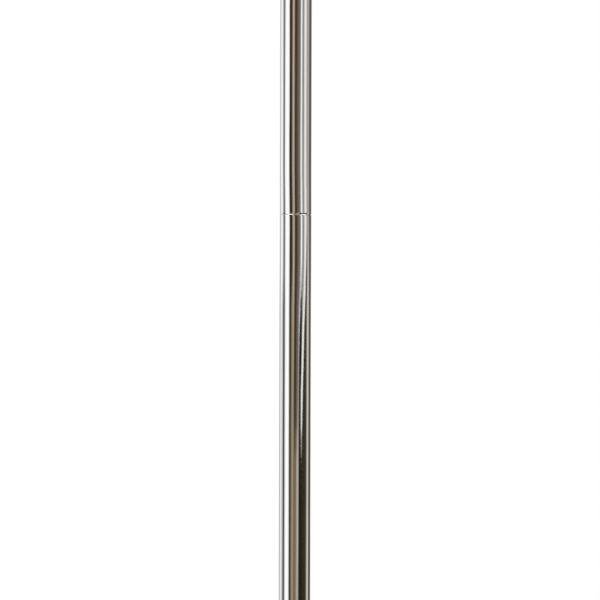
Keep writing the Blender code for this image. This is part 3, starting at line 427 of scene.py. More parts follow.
def rowTree(material):
    # round bars across X, in a row along it
    tree, add, sizes = startTree("barRow", {
        "Count": 6, "Start": 0.0, "Pitch": 0.004, "Radius": 0.001, "Length": 0.02, "Level": 0.0})
    first = add("ShaderNodeCombineXYZ", {0: sizes["Start"], 2: sizes["Level"]})
    step = add("ShaderNodeCombineXYZ", {0: sizes["Pitch"]})
    row = add("GeometryNodeMeshLine", {"Count": sizes["Count"], "Start Location": first, "Offset": step})
    bar = add("GeometryNodeMeshCylinder", {
        "Vertices": 16, "Radius": sizes["Radius"], "Depth": sizes["Length"]})
    across = add("GeometryNodeTransform", {"Geometry": bar, "Rotation": (math.pi / 2, 0, 0)})
    copies = add("GeometryNodeInstanceOnPoints", {"Points": row, "Instance": across})
    return endTree(tree, copies, material)


def threadTree(material):
    # a raised helix round Z, from Start upwards
    tree, add, sizes = startTree("screwThread", {"Turns": 2.0, "Radius": 0.004, "Pitch": 0.00125, "Start": 0.0})
    high = add("ShaderNodeMath", {0: sizes["Turns"], 1: sizes["Pitch"]}, operation="MULTIPLY")
    spiral = add("GeometryNodeCurveSpiral", {
        "Resolution": 36, "Rotations": sizes["Turns"], "Start Radius": sizes["Radius"],
        "End Radius": sizes["Radius"], "Height": high})
    depth = add("ShaderNodeMath", {0: sizes["Pitch"], 1: 0.55}, operation="MULTIPLY")
    tooth = add("GeometryNodeCurvePrimitiveCircle", {"Resolution": 4, "Radius": depth})
    skin = add("GeometryNodeCurveToMesh", {"Curve": spiral, "Profile Curve": tooth, "Fill Caps": True})
    lift = add("ShaderNodeCombineXYZ", {2: sizes["Start"]})
    return endTree(tree, add("GeometryNodeSetPosition", {"Geometry": skin, "Offset": lift}), material)


tubeSweep = bentRodTree(chromeTube)


def lineMesh(points):
    # a chain of points, in mm
    mesh = bpy.data.meshes.new("line")
    mesh.from_pydata([Vector(p) * mm for p in points], [(i, i + 1) for i in range(len(points) - 1)], [])
    return mesh


def place(name, mesh, material, body, nodes=(), where=Matrix.Identity(4)):
    # puts a finished mesh on the stand and says which body carries it
    mesh = mesh.copy()
    mesh.transform(where)
    mesh.shade_smooth()
    mesh.set_sharp_from_angle(angle=math.radians(38))
    mesh.materials.clear()
    mesh.materials.append(material)
    blank = onBench(mesh)
    blank.name = name
    leaning = blank.modifiers.new("leaning", "WEIGHTED_NORMAL")  # flat faces stay flat beside a small round
    leaning.keep_sharp = True
    leaning.weight = 50
    mesh = offBench(blank)
    obj = bpy.data.objects.new(name, mesh)
    bpy.context.scene.collection.objects.link(obj)
    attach(obj, body)
    if nodes:
        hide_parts(*nodes)


def middle(node):
    low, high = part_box(node)
    return (low + high) / 2


def level(node):
    # bottom and top of a node, in mm
    low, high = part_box(node)
    return low.z / mm, high.z / mm


# Poles

pole = {"diameter": 25.0, "wall": 1.0, "innerDiameter": 19.0, "innerWall": 1.2, "sides": 128,
        "lipDepth": 0.2, "lipLength": 1.2, "seamCloses": 0.1, "seatRadius": 12.8, "guideRadius": 9.9}


def poleMesh(node, diameter, wall, closesTop=0.0, closesBottom=0.0):
    # a tube whose ends are drawn down a little by the cutting wheel
    bottom, top = level(node)
    bottom, top = bottom - closesBottom, top + closesTop
    outer, inner = diameter / 2, diameter / 2 - wall
    turns = [math.pi / 2 * i / 7 for i in range(8)]
    lip = [(outer - pole["lipDepth"] * (1 - math.cos(a)), pole["lipLength"] * (1 - math.sin(a))) for a in turns]
    outline = [(inner, top, 0.2), *((r, top - down) for r, down in lip[::-1]),
               *((r, bottom + up) for r, up in lip), (inner, bottom, 0.2)]
    return turnedMesh(node, outline, pole["sides"], True, 5)


for name, node, body, sizes in (
        ("lowerPole", "lower_pole", "base", (pole["diameter"], pole["wall"], pole["seamCloses"], 0.0)),
        ("upperPole", "upper_pole", "base", (pole["diameter"], pole["wall"], 0.0, pole["seamCloses"])),
        ("innerPole", "inner_pole", "hook_pole", (pole["innerDiameter"], pole["innerWall"]))):
    place(name, poleMesh(node, *sizes), chromeTube, body, [node])
print("poles made")

# Base

base = {
    "hubDiameter": 68.0, "sleeveEnd": 56.0, "sleeveRadius": 15.0, "legBore": 11.25, "coreTaper": 3.0,
    "legDiameter": 22.0, "bendStart": 64.0, "bendRadius": 300.0, "slope": 12.0, "legEnd": 256.0,
    "bossDiameter": 34.0, "bossX": 270.0, "endSleeve": 30.0, "endWall": 14.4, "castGrain": 0.9,
}
hubLow, hubHigh = level("hub")
hubAxis = hubLow + 32.0
bossFoot = level("leg_end_1")[0]
stemLow, stemHigh = level("caster_stem_1")


def legTurn(number):
    return Matrix.Rotation(math.pi / 2 + math.tau * number / legCount, 4, "Z")


def legLine():
    # level out of the hub, bent downwards, then straight to the leg's end
    slope, steps = math.radians(base["slope"]), 20
    points = [(20.0, 0, hubAxis), (42.0, 0, hubAxis)]
    for step in range(steps + 1):
        angle = slope * step / steps
        points.append((base["bendStart"] + base["bendRadius"] * math.sin(angle), 0,
                       hubAxis - base["bendRadius"] * (1 - math.cos(angle))))
    x, _, z = points[-1]
    points.append((base["legEnd"], 0, z - (base["legEnd"] - x) * math.tan(slope)))
    return points


def hubMesh():
    half, sleeve, end = base["hubDiameter"] / 2, base["sleeveRadius"], base["sleeveEnd"]
    core = turnedMesh("hub", [(0, hubHigh), (half - 1, hubHigh, 5), (half, hubAxis, 0), (half, hubLow + 8, 0),
                              (half - base["coreTaper"], hubLow, 4), (0, hubLow)], 96)
    sleeves, rims, bores = [], [], []
    for number in range(legCount):
        for found, radius, start, stop in ((sleeves, sleeve, 10, end), (rims, sleeve + 1.2, end - 5, end),
                                           (bores, base["legBore"], 19, end + 9)):
            mesh = rodMesh("sleeve", radius, (start, 0, hubAxis), (stop, 0, hubAxis), 64)
            mesh.transform(legTurn(number))
            found.append(mesh)
    bores += [rodMesh("seat", pole["seatRadius"], (0, 0, hubLow + 22), (0, 0, hubHigh + 9), 96),
              rodMesh("pocket", 16.0, (0, 0, hubLow - 9), (0, 0, hubLow + 12), 72),
              rodMesh("bolt", 5.3, (0, 0, hubLow), (0, 0, hubHigh), 32)]
    return combined(castMesh(core, sleeves + rims, base["castGrain"], 5), bores, "DIFFERENCE")


def legEndMesh():
    slope = math.radians(base["slope"])
    line = legLine()
    end = Vector(line[-1])
    along = Vector((math.cos(slope), 0, -math.sin(slope)))
    half, low = base["bossDiameter"] / 2, bossFoot
    boss = turnedMesh("legEnd", [(0, low + 37), (half - 4, low + 37, 6), (half, low + 31, 5),
                                 (half, low + 5, 2), (half - 2.5, low, 1), (0, low)], 72)
    boss.transform(shift(base["bossX"]))
    mouth = end - along * base["endSleeve"]
    sleeve = rodMesh("sleeve", base["endWall"], mouth - along * 5, end + along * 8, 64)
    lip = rodMesh("lip", base["endWall"] + 0.9, mouth - along * 5, mouth + along * 4, 64)
    blank = castMesh(boss, [sleeve, lip], 0.75, 4)
    bore = rodMesh("bore", base["legBore"], end - along * 60, end + along * 0.3, 96)
    trim = rodMesh("trim", 30, mouth - along * 12, mouth, 8)
    hole = rodMesh("hole", 5.8, (base["bossX"], 0, low - 5), (base["bossX"], 0, stemHigh + 0.3), 32)
    return combined(blank, [bore, trim, hole], "DIFFERENCE")


place("hub", hubMesh(), castAluminium, "base", ["hub"])
legSource = grownMesh("leg", tubeSweep, {"Radius": base["legDiameter"] / 2 * mm, "Sides": 64, "Dome": 0.0},
                      lineMesh(legLine()))
legEndSource = legEndMesh()
for number in range(legCount):
    label = str(number + 1)
    place("leg" + label, legSource, chromeTube, "base", ["leg_" + label], legTurn(number))
    place("legEnd" + label, legEndSource, blackNylon, "base", ["leg_end_" + label], legTurn(number))
coverLow, coverHigh = level("hub_cover")
place("hubCover", turnedMesh("hubCover", [
    (pole["seatRadius"], coverHigh, 0.3), (15.4, coverHigh, 1.0), (17.0, coverHigh - 3.2, 4),
    (29.2, coverLow + 4.0, 3), (30.0, coverLow + 2.0, 0.6), (30.0, coverLow, 0.3),
    (pole["seatRadius"], coverLow, 0)], 96, True), chromeFitting, "base", ["hub_cover"])


def baseBoltMesh():
    low, high = level("base_bolt")
    shank = turnedMesh("baseBolt", [
        (0, high), (4.2, high, 0), (5.0, high - 1, 0), (5.0, low + 9, 0.3), (12.0, low + 9, 0.3),
        (12.0, low + 7.6, 0.5), (9.6, low + 6.6, 0), (9.0, low + 6.6), (0, low + 6.6)], 48)
    hexagon = turnedMesh("hexagon", [(0, low + 7), (9.5, low + 7, 0), (9.5, low, 0), (0, low)], 6)
    chamfer = turnedMesh("chamfer", [
        (0, low + 8), (9.5, low + 8, 0), (9.5, low + 1.2, 0), (8.0, low, 0), (0, low)], 48)
    return combined(combined(hexagon, [chamfer], "INTERSECT"), [shank], "UNION")


place("baseBolt", baseBoltMesh(), zincSteel, "base", ["base_bolt"])
legScrew = {"x": 47.0, "radius": 4.2, "height": 2.2, "socket": 1.9}


def legScrewMesh():
    # the button head of one screw, with its hexagon socket
    radius, height, socket = legScrew["radius"], legScrew["height"], legScrew["socket"]
    button = turnedMesh("legScrew", [
        (0, height), (radius - 1.2, height, 0.6), (radius, 0.6, 0.8), (radius, -0.6, 0), (0, -0.6)], 40)
    key = turnedMesh("key", [(0, 4), (socket, 4, 0), (socket, 0.6, 0), (0, 0.6)], 6)
    return combined(button, [key], "DIFFERENCE")


underSleeve = shift(legScrew["x"], 0, hubAxis - base["sleeveRadius"]) @ Matrix.Rotation(math.pi, 4, "X")
place("legScrews", joinedCopies("legScrews", legScrewMesh(), [
    legTurn(number) @ underSleeve for number in range(legCount)]), zincSteel, "base")
print("base made")

# Casters, each built about its swivel with the wheel trailing along X

caster = {
    "trail": 26.0, "tyreRadius": 37.5, "tyreWidth": 20.0, "rimRadius": 28.0, "ribs": 8, "cheekInside": 13.5,
    "plate": 2.4, "raceRadius": 16.0, "footRadius": 11.0, "pivotX": 34.0, "pivotHeight": 81.0,
    "pinBore": 2.3,
}
crownLow, crownTop, raceTop = 80.5, 82.9, 92.4
axleHeight = caster["tyreRadius"]


def tyreMesh():
    radius, side, bore = caster["tyreRadius"], caster["tyreWidth"] / 2, caster["rimRadius"] + 0.3
    half = [(bore, side, 0.4), (30.6, side, 0.3), (30.9, side - 0.5, 0.2), (31.9, side - 0.5, 0.2),
            (32.2, side, 0.3), (35.2, side - 0.4, 2.2), (37.2, side - 3.4, 1.8), (radius - 0.1, 2.6, 4),
            (radius - 0.1, 0.35, 0.1), (radius, 0.2, 0)]
    return turnedMesh("tyre", mirrored(half), 120, True, 3)


def rimMesh():
    outer = caster["rimRadius"]
    half = [(4.4, 12, 0.3), (7.2, 12, 0.6), (9, 9.5, 1.5), (9.6, 3.2, 2.0), (22.6, 2.6, 2.5), (24.0, 8.5, 0.6),
            (outer, 8.5, 0.5)]
    disc = turnedMesh("rim", mirrored(half), 96, True, 3)
    ribs = grownMesh("ribs", ringTree(wheelPlastic, "rib"), {
        "Count": caster["ribs"], "Ring radius": 15.8 * mm, "Length": 15.2 * mm, "Width": 1.8 * mm,
        "Height": 11.0 * mm, "Level": 0.0})
    return joinedMesh("rim", [disc, edgedMesh(ribs, 0.35)])


def forkMesh(braked):
    # pressed from plate: crown, two cheeks with a round foot, and the raised ball race
    inside, plate, trail = caster["cheekInside"], caster["plate"], caster["trail"]
    outside = inside + plate
    outline = [(-18, crownTop - 2, 0), (21, crownTop - 2, 2), (30.5, 87.4, 3), (37.4, 87.4, 3.5), (40.5, 81, 4)]
    for step in range(13):
        angle = -math.pi * step / 12
        outline.append((trail + caster["footRadius"] * math.cos(angle),
                        axleHeight + caster["footRadius"] * math.sin(angle)))
    outline.append((-18, crownLow - 2.4, 3))
    cheeks = []
    for side in (-1, 1):
        cheek = plateMesh("cheek", outline, -plate / 2, plate / 2)
        cheek.transform(shift(0, side * (inside + plate / 2)) @ quarterTurn("X"))
        cheeks.append(cheek)
    # the crown is bent down into the cheeks with a round shoulder
    shoulder = [(-outside, crownTop, 3.2), (-outside, crownTop - 5, 0), (-inside, crownTop - 5, 0),
                (-inside, crownLow, 1.0), (inside, crownLow, 1.0), (inside, crownTop - 5, 0),
                (outside, crownTop - 5, 0), (outside, crownTop, 3.2)]
    crown = plateMesh("crown", shoulder, -18, 20)
    crown.transform(Matrix(((0, 0, 1, 0), (1, 0, 0, 0), (0, 1, 0, 0), (0, 0, 0, 1))))
    race = turnedMesh("race", [
        (0, raceTop), (caster["raceRadius"] - 1, raceTop, 0.8), (caster["raceRadius"], raceTop - 3, 0.8),
        (caster["raceRadius"], crownTop + 2, 1.5), (14.2, crownTop - 1.2, 0), (0, crownTop - 1.2)], 72)
    blank = combined(crown, [*cheeks, race], "UNION")
    reach = outside + 4
    holes = [rodMesh("axleHole", 4.5, (trail, -reach, axleHeight), (trail, reach, axleHeight), 32),
             rodMesh("kingpinHole", 4.5, (0, 0, crownLow - 4), (0, 0, raceTop + 4), 32)]
    if braked:
        x, height = caster["pivotX"], caster["pivotHeight"]
        holes.append(rodMesh("pinHole", caster["pinBore"], (x, -reach, height), (x, reach, height), 24))
    return edgedMesh(combined(blank, holes, "DIFFERENCE"), 0.3)


def axleMesh():
    half = [(0, 19.2), (3.0, 19.2, 0.8), (5.6, 18.4, 1.6), (7.0, 17.0, 0.6), (7.0, 16.2, 0), (4.0, 16.2, 0)]
    return turnedMesh("axle", mirrored(half), 48)


def stemMesh():
    low, high, flange = stemLow, stemHigh, stemHigh - 25.0
    return turnedMesh("stem", [
        (0, high), (4.6, high, 0.4), (5.5, high - 1.2, 0.2), (5.5, flange, 0.3), (14.4, flange, 0.5),
        (15.0, flange - 1.4, 0.5), (15.0, flange - 2.9, 0.3), (4.0, flange - 3.0, 0), (4.0, low + 3.0, 0),
        (7.0, low + 3.0, 0.3), (6.4, low + 0.8, 1.0), (4.0, low, 1.0), (0, low)], 56)


def pedalMesh():
    # foot plate with a downturned root that reaches the tyre, round corners and a ribbed top
    outline = [(-4, 10, 2.0), (42, 10, 1.2), (42, 7.2, 1.2), (17, 7.0, 4), (12.2, 2.5, 2), (11.6, -5.8, 0.8),
               (4, -5.8, 0.8), (3.6, -4, 0), (-4, -4, 3.0)]
    body = plateMesh("pedal", outline, -12, 12)
    body.transform(quarterTurn("X"))
    plan = plateMesh("plan", [(-6, -12, 1), (42, -12, 7), (42, 12, 7), (-6, 12, 1)], -12, 14)
    pin = rodMesh("pin", caster["pinBore"], (0, -20, 0), (0, 20, 0), 24)
    body = edgedMesh(combined(combined(body, [plan], "INTERSECT"), [pin], "DIFFERENCE"), 0.4)
    grips = grownMesh("grips", rowTree(redNylon), {
        "Count": 6, "Start": 16 * mm, "Pitch": 4.2 * mm, "Radius": 0.9 * mm, "Length": 17 * mm,
        "Level": 9.9 * mm})
    return joinedMesh("pedal", [body, grips])


tyreSource, rimSource, axleSource, stemSource = tyreMesh(), rimMesh(), axleMesh(), stemMesh()
forkSources = {braked: forkMesh(braked) for braked in (False, True)}
pedalSource = pedalMesh()
pinSource = turnedMesh("pin", mirrored([
    (0, 17), (1.6, 17, 0.5), (2.9, 16.3, 0.5), (2.9, 16.0, 0), (2.0, 16.0, 0)]), 32)
upright = quarterTurn("X")
for number in range(1, legCount + 1):
    label = str(number)
    stem = middle("caster_stem_" + label)
    swivel = Matrix.Translation((stem.x, stem.y, 0)) @ Matrix.Rotation(-math.pi / 2, 4, "Z")
    wheel = swivel @ shift(caster["trail"], 0, axleHeight) @ upright
    fork = forkSources[number in brakedCasters]
    place("casterStem" + label, stemSource, zincSteel, "base", ["caster_stem_" + label], swivel)
    place("fork" + label, fork, zincSteel, "caster_" + label, ["fork_" + label], swivel)
    place("axle" + label, axleSource, zincSteel, "caster_" + label, ["axle_" + label], wheel)
    place("rim" + label, rimSource, wheelPlastic, "wheel_" + label, ["rim_" + label], wheel)
    place("tyre" + label, tyreSource, tyreRubber, "wheel_" + label, ["tyre_" + label], wheel)
    if number in brakedCasters:
        pivot = swivel @ shift(caster["pivotX"], 0, caster["pivotHeight"])
        place("brakePedal" + label, pedalSource, redNylon, "pedal_" + label, ["brake_pedal_" + label], pivot)
        place("brakePin" + label, pinSource, zincSteel, "caster_" + label, ["brake_pin_" + label],
              pivot @ upright)
print("casters made")

# Height lock

lock = {"collarDiameter": 36.0, "bossRadius": 10.0, "bossEnd": 31.0, "ribs": 28, "lobes": 6, "knobRadius": 22.0,
        "lobeDepth": 2.2, "knobStart": 33.5, "neck": 5.0, "neckRadius": 10.0, "knobEnd": 55.5}
collarLow, collarHigh = level("collar")
screwHeight = middle("lock_screw").z / mm
alongX = shift(0, 0, screwHeight) @ quarterTurn("Y")


def collarMesh():
    half = lock["collarDiameter"] / 2
    body = turnedMesh("collar", [
        (0, collarHigh), (half - 0.4, collarHigh, 2.5), (half, collarHigh - 12, 0), (half, collarLow + 26, 0),
        (half - 1.0, collarLow + 22, 1.5), (half - 1.0, collarLow + 3, 2.5), (half - 2.6, collarLow, 1.0),
        (0, collarLow)], 96)
    boss = turnedMesh("boss", [(0, lock["bossEnd"]), (lock["bossRadius"], lock["bossEnd"], 0.8),
                               (lock["bossRadius"], 20, 0), (lock["bossRadius"] + 1.2, 4, 0), (0, 4)], 64)
    boss.transform(alongX)
    blank = castMesh(body, [boss], 0.7, 3)
    bores = [rodMesh("poleBore", pole["seatRadius"], (0, 0, collarLow - 3), (0, 0, collarLow + 22.3), 96),
             rodMesh("guide", pole["guideRadius"], (0, 0, collarLow), (0, 0, collarHigh), 72),
             rodMesh("bushSeat", 12.9, (0, 0, collarHigh - 12.3), (0, 0, collarHigh + 3), 72),
             rodMesh("insertSeat", 6.7, (16.7, 0, screwHeight), (lock["bossEnd"] + 3, 0, screwHeight), 48)]
    cut = combined(blank, bores, "DIFFERENCE")
    grips = grownMesh("grips", ringTree(blackNylon, "bead"), {
        "Count": lock["ribs"], "Ring radius": (half - 1.1) * mm, "Length": 1.0 * mm, "Width": 0.9 * mm,
        "Height": 8.2 * mm, "Level": (collarLow + 12.5) * mm})
    return joinedMesh("collar", [cut, grips])


def knobMesh():
    # soft lobes round the screw, a domed face with a dished middle, and a neck
    start, end, neck, around = lock["knobStart"], lock["knobEnd"], lock["neckRadius"], 144
    back = start + lock["neck"]
    bends = [math.pi / 2 * i / 7 for i in range(8)]
    # rings from the neck to the face: how much of the lobed outline they take, their height, and the radius
    # of the round that takes the rest
    rounds = [(0, start, 4.4), (0, start, neck - 0.6), (0, start + 0.6, neck), (0, back - 1.5, neck),
              (0, back - 0.4, neck + 0.9), (0.80, back, neck)]
    rounds += [(0.84 + 0.16 * math.sin(a), back + 3.0 * (1 - math.cos(a)), 0) for a in bends[1:]]
    rounds += [(0.975, (back + end) / 2, 0)]
    rounds += [(0.84 + 0.16 * math.cos(a), end - 4.2 + 3.2 * math.sin(a), 0) for a in bends]
    rounds += [(0.66, end - 0.5, 0), (0.5, end, 0), (0, end, 9.4), (0, end - 0.3, 8.6), (0, end - 1.4, 8.1),
               (0, end - 1.5, 7.5), (0, end - 0.7, 3.5)]
    bm = bmesh.new()
    rings = []
    for share, height, radius in rounds:
        rings.append([])
        for i in range(around):
            angle = math.tau * i / around
            lobed = lock["knobRadius"] - lock["lobeDepth"] * (1 - math.cos(lock["lobes"] * angle)) / 2
            reach = (radius + (lobed - radius) * share) * mm
            rings[-1].append(bm.verts.new((reach * math.cos(angle), reach * math.sin(angle), height * mm)))
    for lower, upper in zip(rings, rings[1:]):
        for i in range(around):
            bm.faces.new((lower[i - 1], lower[i], upper[i], upper[i - 1]))
    bm.faces.new(rings[-1])
    bm.faces.new(rings[0][::-1])
    bmesh.ops.recalc_face_normals(bm, faces=bm.faces)
    return meshFrom(bm, "knob")


def lockScrewMesh():
    shaft = turnedMesh("screw", [(0, 47.3), (3.4, 47.3, 0.3), (3.4, 15.0, 0), (2.8, 14.2, 0.3), (0, 14.2)], 40)
    thread = grownMesh("thread", threadTree(zincSteel), {
        "Turns": 25.0, "Radius": 3.35 * mm, "Pitch": 1.25 * mm, "Start": 15.4 * mm})
    return joinedMesh("screw", [shaft, thread])


place("collar", collarMesh(), blackNylon, "base", ["collar"])
bushLow, bushHigh = level("collar_bush")
place("collarBush", turnedMesh("collarBush", [
    (pole["guideRadius"], bushHigh, 0.5), (14.2, bushHigh, 0.8), (15.0, bushHigh - 1.2, 0.4),
    (15.0, bushHigh - 2.0, 0.2), (12.5, bushHigh - 2.0, 0), (12.5, bushLow, 0.5),
    (pole["guideRadius"], bushLow, 0.5)], 72, True), whiteNylon, "base", ["collar_bush"])
place("threadInsert", turnedMesh("insert", [
    (4.3, 31.3, 0.2), (6.3, 31.3, 0.3), (6.3, 17.2, 0.3), (4.3, 17.2, 0.2)], 48, True), brass, "base",
    ["thread_insert"], alongX)
place("lockScrew", lockScrewMesh(), zincSteel, "lock_screw", ["lock_screw"], alongX)
place("lockKnob", knobMesh(), blackNylon, "lock_screw", ["lock_knob"], alongX)
print("height lock made")

# Hook head

head = {"diameter": 32.0, "skirt": 12.5, "bore": 9.8, "rod": 7.0, "weldX": 15.7, "weldBeads": 26,
        "capRadius": 14.0, "capRise": 9.0}
hookRoute = [  # lengths, or a radius and a turn upwards in degrees, from the rod's end in the head
    (30.0,), (22.0, 25.0), (16.0, -105.0), (6.0,), (13.0, 190.0), (5.5,), (9.0, -38.0), (3.7,)]
headLow, headHigh = level("hook_head")
poleTop = level("inner_pole")[1]
hookHeight = poleTop + 13.0


def hookLine():
    here, heading = Vector((8.0, 0, 0)), 0.0
    points = [here.copy()]
    for step in hookRoute:
        if len(step) == 1:
            pieces = 4
            for _ in range(pieces):
                here = here + Vector((math.cos(heading), 0, math.sin(heading))) * step[0] / pieces
                points.append(here.copy())
            continue
        radius, turn = step[0], math.radians(step[1])
        side = math.copysign(1, turn)
        centre = here + Vector((-math.sin(heading), 0, math.cos(heading))) * radius * side
        count = math.ceil(abs(step[1]) / 4)
        for i in range(1, count + 1):
            at = heading + turn * i / count
            points.append(centre - Vector((-math.sin(at), 0, math.cos(at))) * radius * side)
        here, heading = points[-1].copy(), heading + turn
    # closer points over the domed tip
    radius, tail = head["rod"] / 2, points[-1]
    back = (points[-2] - tail).normalized()
    points = [p for p in points[:-1] if (p - tail).length > radius * 1.05]
    points += [tail + back * radius * math.cos(math.pi / 2 * i / 8) for i in range(9)]
    return points


def headMesh():
    half = head["diameter"] / 2
    blank = turnedMesh("head", [
        (0, headHigh), (half - 1.4, headHigh, 1.0), (half, headHigh - 2.4, 1.0), (half, poleTop + 2, 1.0),
        (half - 0.9, poleTop + 1.0, 0.4), (half - 0.9, poleTop - 0.4, 0.4), (head["skirt"], poleTop - 4.2, 3.0),
        (head["skirt"], headLow + 1.2, 0.4), (head["skirt"] - 0.8, headLow, 0.4), (0, headLow)], 96)
    bores = [rodMesh("bore", head["bore"], (0, 0, headLow - 4), (0, 0, poleTop + 0.3), 72),
             rodMesh("capSeat", 5.2, (0, 0, headHigh - 7.3), (0, 0, headHigh + 2), 48)]
    return combined(blank, bores, "DIFFERENCE")


place("hookHead", headMesh(), chromeFitting, "hook_pole", ["hook_head"])
hookSource = grownMesh("hook", tubeSweep, {"Radius": head["rod"] / 2 * mm, "Sides": 40, "Dome": 1.0},
                       lineMesh(hookLine()))
beads = grownMesh("beads", ringTree(chromeFitting, "bead"), {
    "Count": head["weldBeads"], "Ring radius": 3.75 * mm, "Length": 0.55 * mm, "Width": 0.6 * mm,
    "Height": 0.85 * mm, "Level": 0.5 * mm})
fillet = turnedMesh("fillet", [
    (3.3, 2.0), (3.7, 1.5, 0.4), (4.1, 0.5, 0.5), (5.0, 0.1, 0), (5.0, -0.9, 0), (3.3, -0.9)], 48, True)
turns = [shift(0, 0, hookHeight) @ Matrix.Rotation(math.tau * i / hookCount, 4, "Z") for i in range(hookCount)]
for number, turn in enumerate(turns, 1):
    place("hook" + str(number), hookSource, chromeTube, "hook_pole", ["hook_" + str(number)], turn)
place("hookWelds", joinedCopies("hookWelds", joinedMesh("weld", [beads, fillet]), [
    turn @ shift(head["weldX"]) @ quarterTurn("Y") for turn in turns]), chromeFitting, "hook_pole")
capLow, capHigh = level("head_cap")
seat = capHigh - head["capRise"]
dome = [(head["capRadius"] * math.cos(math.radians(a)), seat + head["capRise"] * math.sin(math.radians(a)))
        for a in range(90, 4, -6)]
place("headCap", turnedMesh("headCap", [
    *dome, (head["capRadius"], seat + 0.5, 0), (head["capRadius"], seat, 0.3), (5.0, seat, 0),
    (5.0, capLow, 0.5), (0, capLow)], 72), blackNylon, "hook_pole", ["head_cap"])
print("hook head made")

# Inner pieces that keep their CAD shape
keptNodes = {"pole_plug": zincSteel, "joint_sleeve": zincSteel, "inner_pole_foot": whiteNylon,
             "pressure_pad": whiteNylon}
for node, material in keptNodes.items():
    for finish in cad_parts[node].material_slots:
        finish.material = material

# Floor, light and camera

view = {"lens": 150.0, "frameHeight": 0.4666, "middleHeight": 0.5734, "sideways": 0.00368, "roll": 0.16}
room = {"bowHeight": 0.024, "bowTurn": -4.5, "leanTop": 0.025, "leanFoot": -0.056, "leanTurn": 23,
        "sillDrop": 0.078, "sillFoot": -0.063, "sillTop": -0.05, "strength": 1.12}


def floorMaterial():
    # pale sheet floor that fades out before its rim
    material = bpy.data.materials.new("paleFloor")
    material.use_nodes = True
    tree = material.node_tree
    add = partial(addNode, tree)
    shader = tree.nodes["Principled BSDF"]
    shader.inputs["Base Color"].default_value = linearColour("#F0F0EE")
    shader.inputs["Roughness"].default_value = 0.6
    # mirrors look past the floor, as past the dark cards that a studio lays round a polished thing, and
    # from beneath it is clear
    mirrors = add("ShaderNodeLightPath").outputs["Is Glossy Ray"]
    away = add("ShaderNodeVectorMath", {0: objectPlace(tree)}, operation="LENGTH").outputs["Value"]
    fade = add("ShaderNodeMapRange", {"Value": away, "From Min": 0.7, "From Max": 2.0},
               interpolation_type="SMOOTHSTEP")
    normal = add("ShaderNodeNewGeometry").outputs["Normal"]
    upwards = add("ShaderNodeSeparateXYZ", {0: normal}).outputs[2]
    beneath = add("ShaderNodeMath", {0: upwards, 1: 0.0}, operation="LESS_THAN")
    hidden = add("ShaderNodeMath", {0: beneath, 1: mirrors}, operation="MAXIMUM")
    gone = add("ShaderNodeMath", {0: fade, 1: hidden}, operation="MAXIMUM")
    clear = add("ShaderNodeBsdfTransparent")
    mixed = add("ShaderNodeMixShader", {0: gone, 1: shader, 2: clear}).outputs[0]
    tree.links.new(mixed, tree.nodes["Material Output"].inputs["Surface"])
    return material


floorMesh = rodMesh("floor", 2100, (0, 0, -2), (0, 0, -0.2), 96)
floorMesh.materials.append(floorMaterial())
floor = bpy.data.objects.new("floor", floorMesh)
bpy.context.scene.collection.objects.link(floor)

# What the chrome sees round the room, by direction: degrees to the right of the camera's side, and a colour
upperRoom = {
    -180: "#FFFFFF", -154: "#E0DEDA", -138: "#9A968C", -129: "#F8F8F7", -112: "#F2F2F1", -95: "#6C6C6E",
    -86: "#747476", -77: "#FAFAFA", -52: "#FBFBFB", -46: "#969694", -42: "#281E14", -32: "#2A1E12",
    -25: "#6A5B4D", -19: "#BAA898", -11: "#A69888", -6: "#463929", 3: "#35281C", 9: "#544A3E", 33: "#7A746C",
    38: "#F2F1EE", 43: "#E6E4E1", 49: "#A2A09E", 56: "#6C6C6A", 62: "#B4B4B0", 69: "#E8E8E5", 78: "#E2E0DA",
    86: "#A09B92", 106: "#A8A297", 115: "#5C564E", 130: "#4A4640", 148: "#8C8882", 162: "#F4F4F2",
}
lowerRoom = {
    -180: "#FFFFFF", -154: "#D8D6D2", -138: "#949085", -129: "#EEEEEB", -116: "#E6E5E2", -102: "#B6B6B6",
    -93: "#3C3C3D", -84: "#4C4C4D", -76: "#D0D0D0", -70: "#FCFCFC", -52: "#FBFBFA", -46: "#D4D4D2",
    -41: "#45453E", -34: "#2A2016", -27: "#766958", -18: "#A4937B", -10: "#7E6E5A", 5: "#6E6350",
    13: "#9A9284", 20: "#BEB7A8", 26: "#7A7264", 31: "#241B12", 48: "#2A221A", 78: "#36312A", 86: "#403A33",
    95: "#A29B90", 104: "#DCD6CA", 113: "#827A70", 122: "#4C443C", 140: "#5A544C", 152: "#A8A49E",
    164: "#FFFFFF",
}
# How far up the upper room's lower edge stands along the same directions, from black to white
sillRise = {
    -15: "#E4E4E4", -9: "#000000", 26: "#000000", 31: "#404040", 36: "#808080", 41: "#E4E4E4", 58: "#E4E4E4",
    63: "#808080", 67: "#202020", 69: "#000000", 72: "#000000", 76: "#505050", 82: "#FFFFFF", 100: "#FFFFFF",
    112: "#E4E4E4",
}
# Above and below the walls: the upward part of the direction, from -1 to 1, and a colour
roomHeights = {
    -1.0: "#2E2C2A", -0.8: "#4A4846", -0.55: "#77746F", -0.3: "#A5A29C", 0.3: "#DCD8D0", 0.42: "#F0F0EF",
    0.5: "#E2E2E2", 0.72: "#9C9C9C", 0.86: "#6A6A6A", 1.0: "#8A8A8A",
}


def rampStops(ramp, stops):
    elements = ramp.color_ramp.elements
    elements.remove(elements[1])
    for i, (at, hexCode) in enumerate(stops.items()):
        stop = elements[0] if i == 0 else elements.new(at)
        stop.position = at
        stop.color = linearColour(hexCode)


def roomRamp(tree, turn, stops):
    ramp = addNode(tree, "ShaderNodeValToRGB", {"Fac": turn})
    rampStops(ramp, {degrees / 360 + 0.5: colour for degrees, colour in stops.items()})
    return ramp


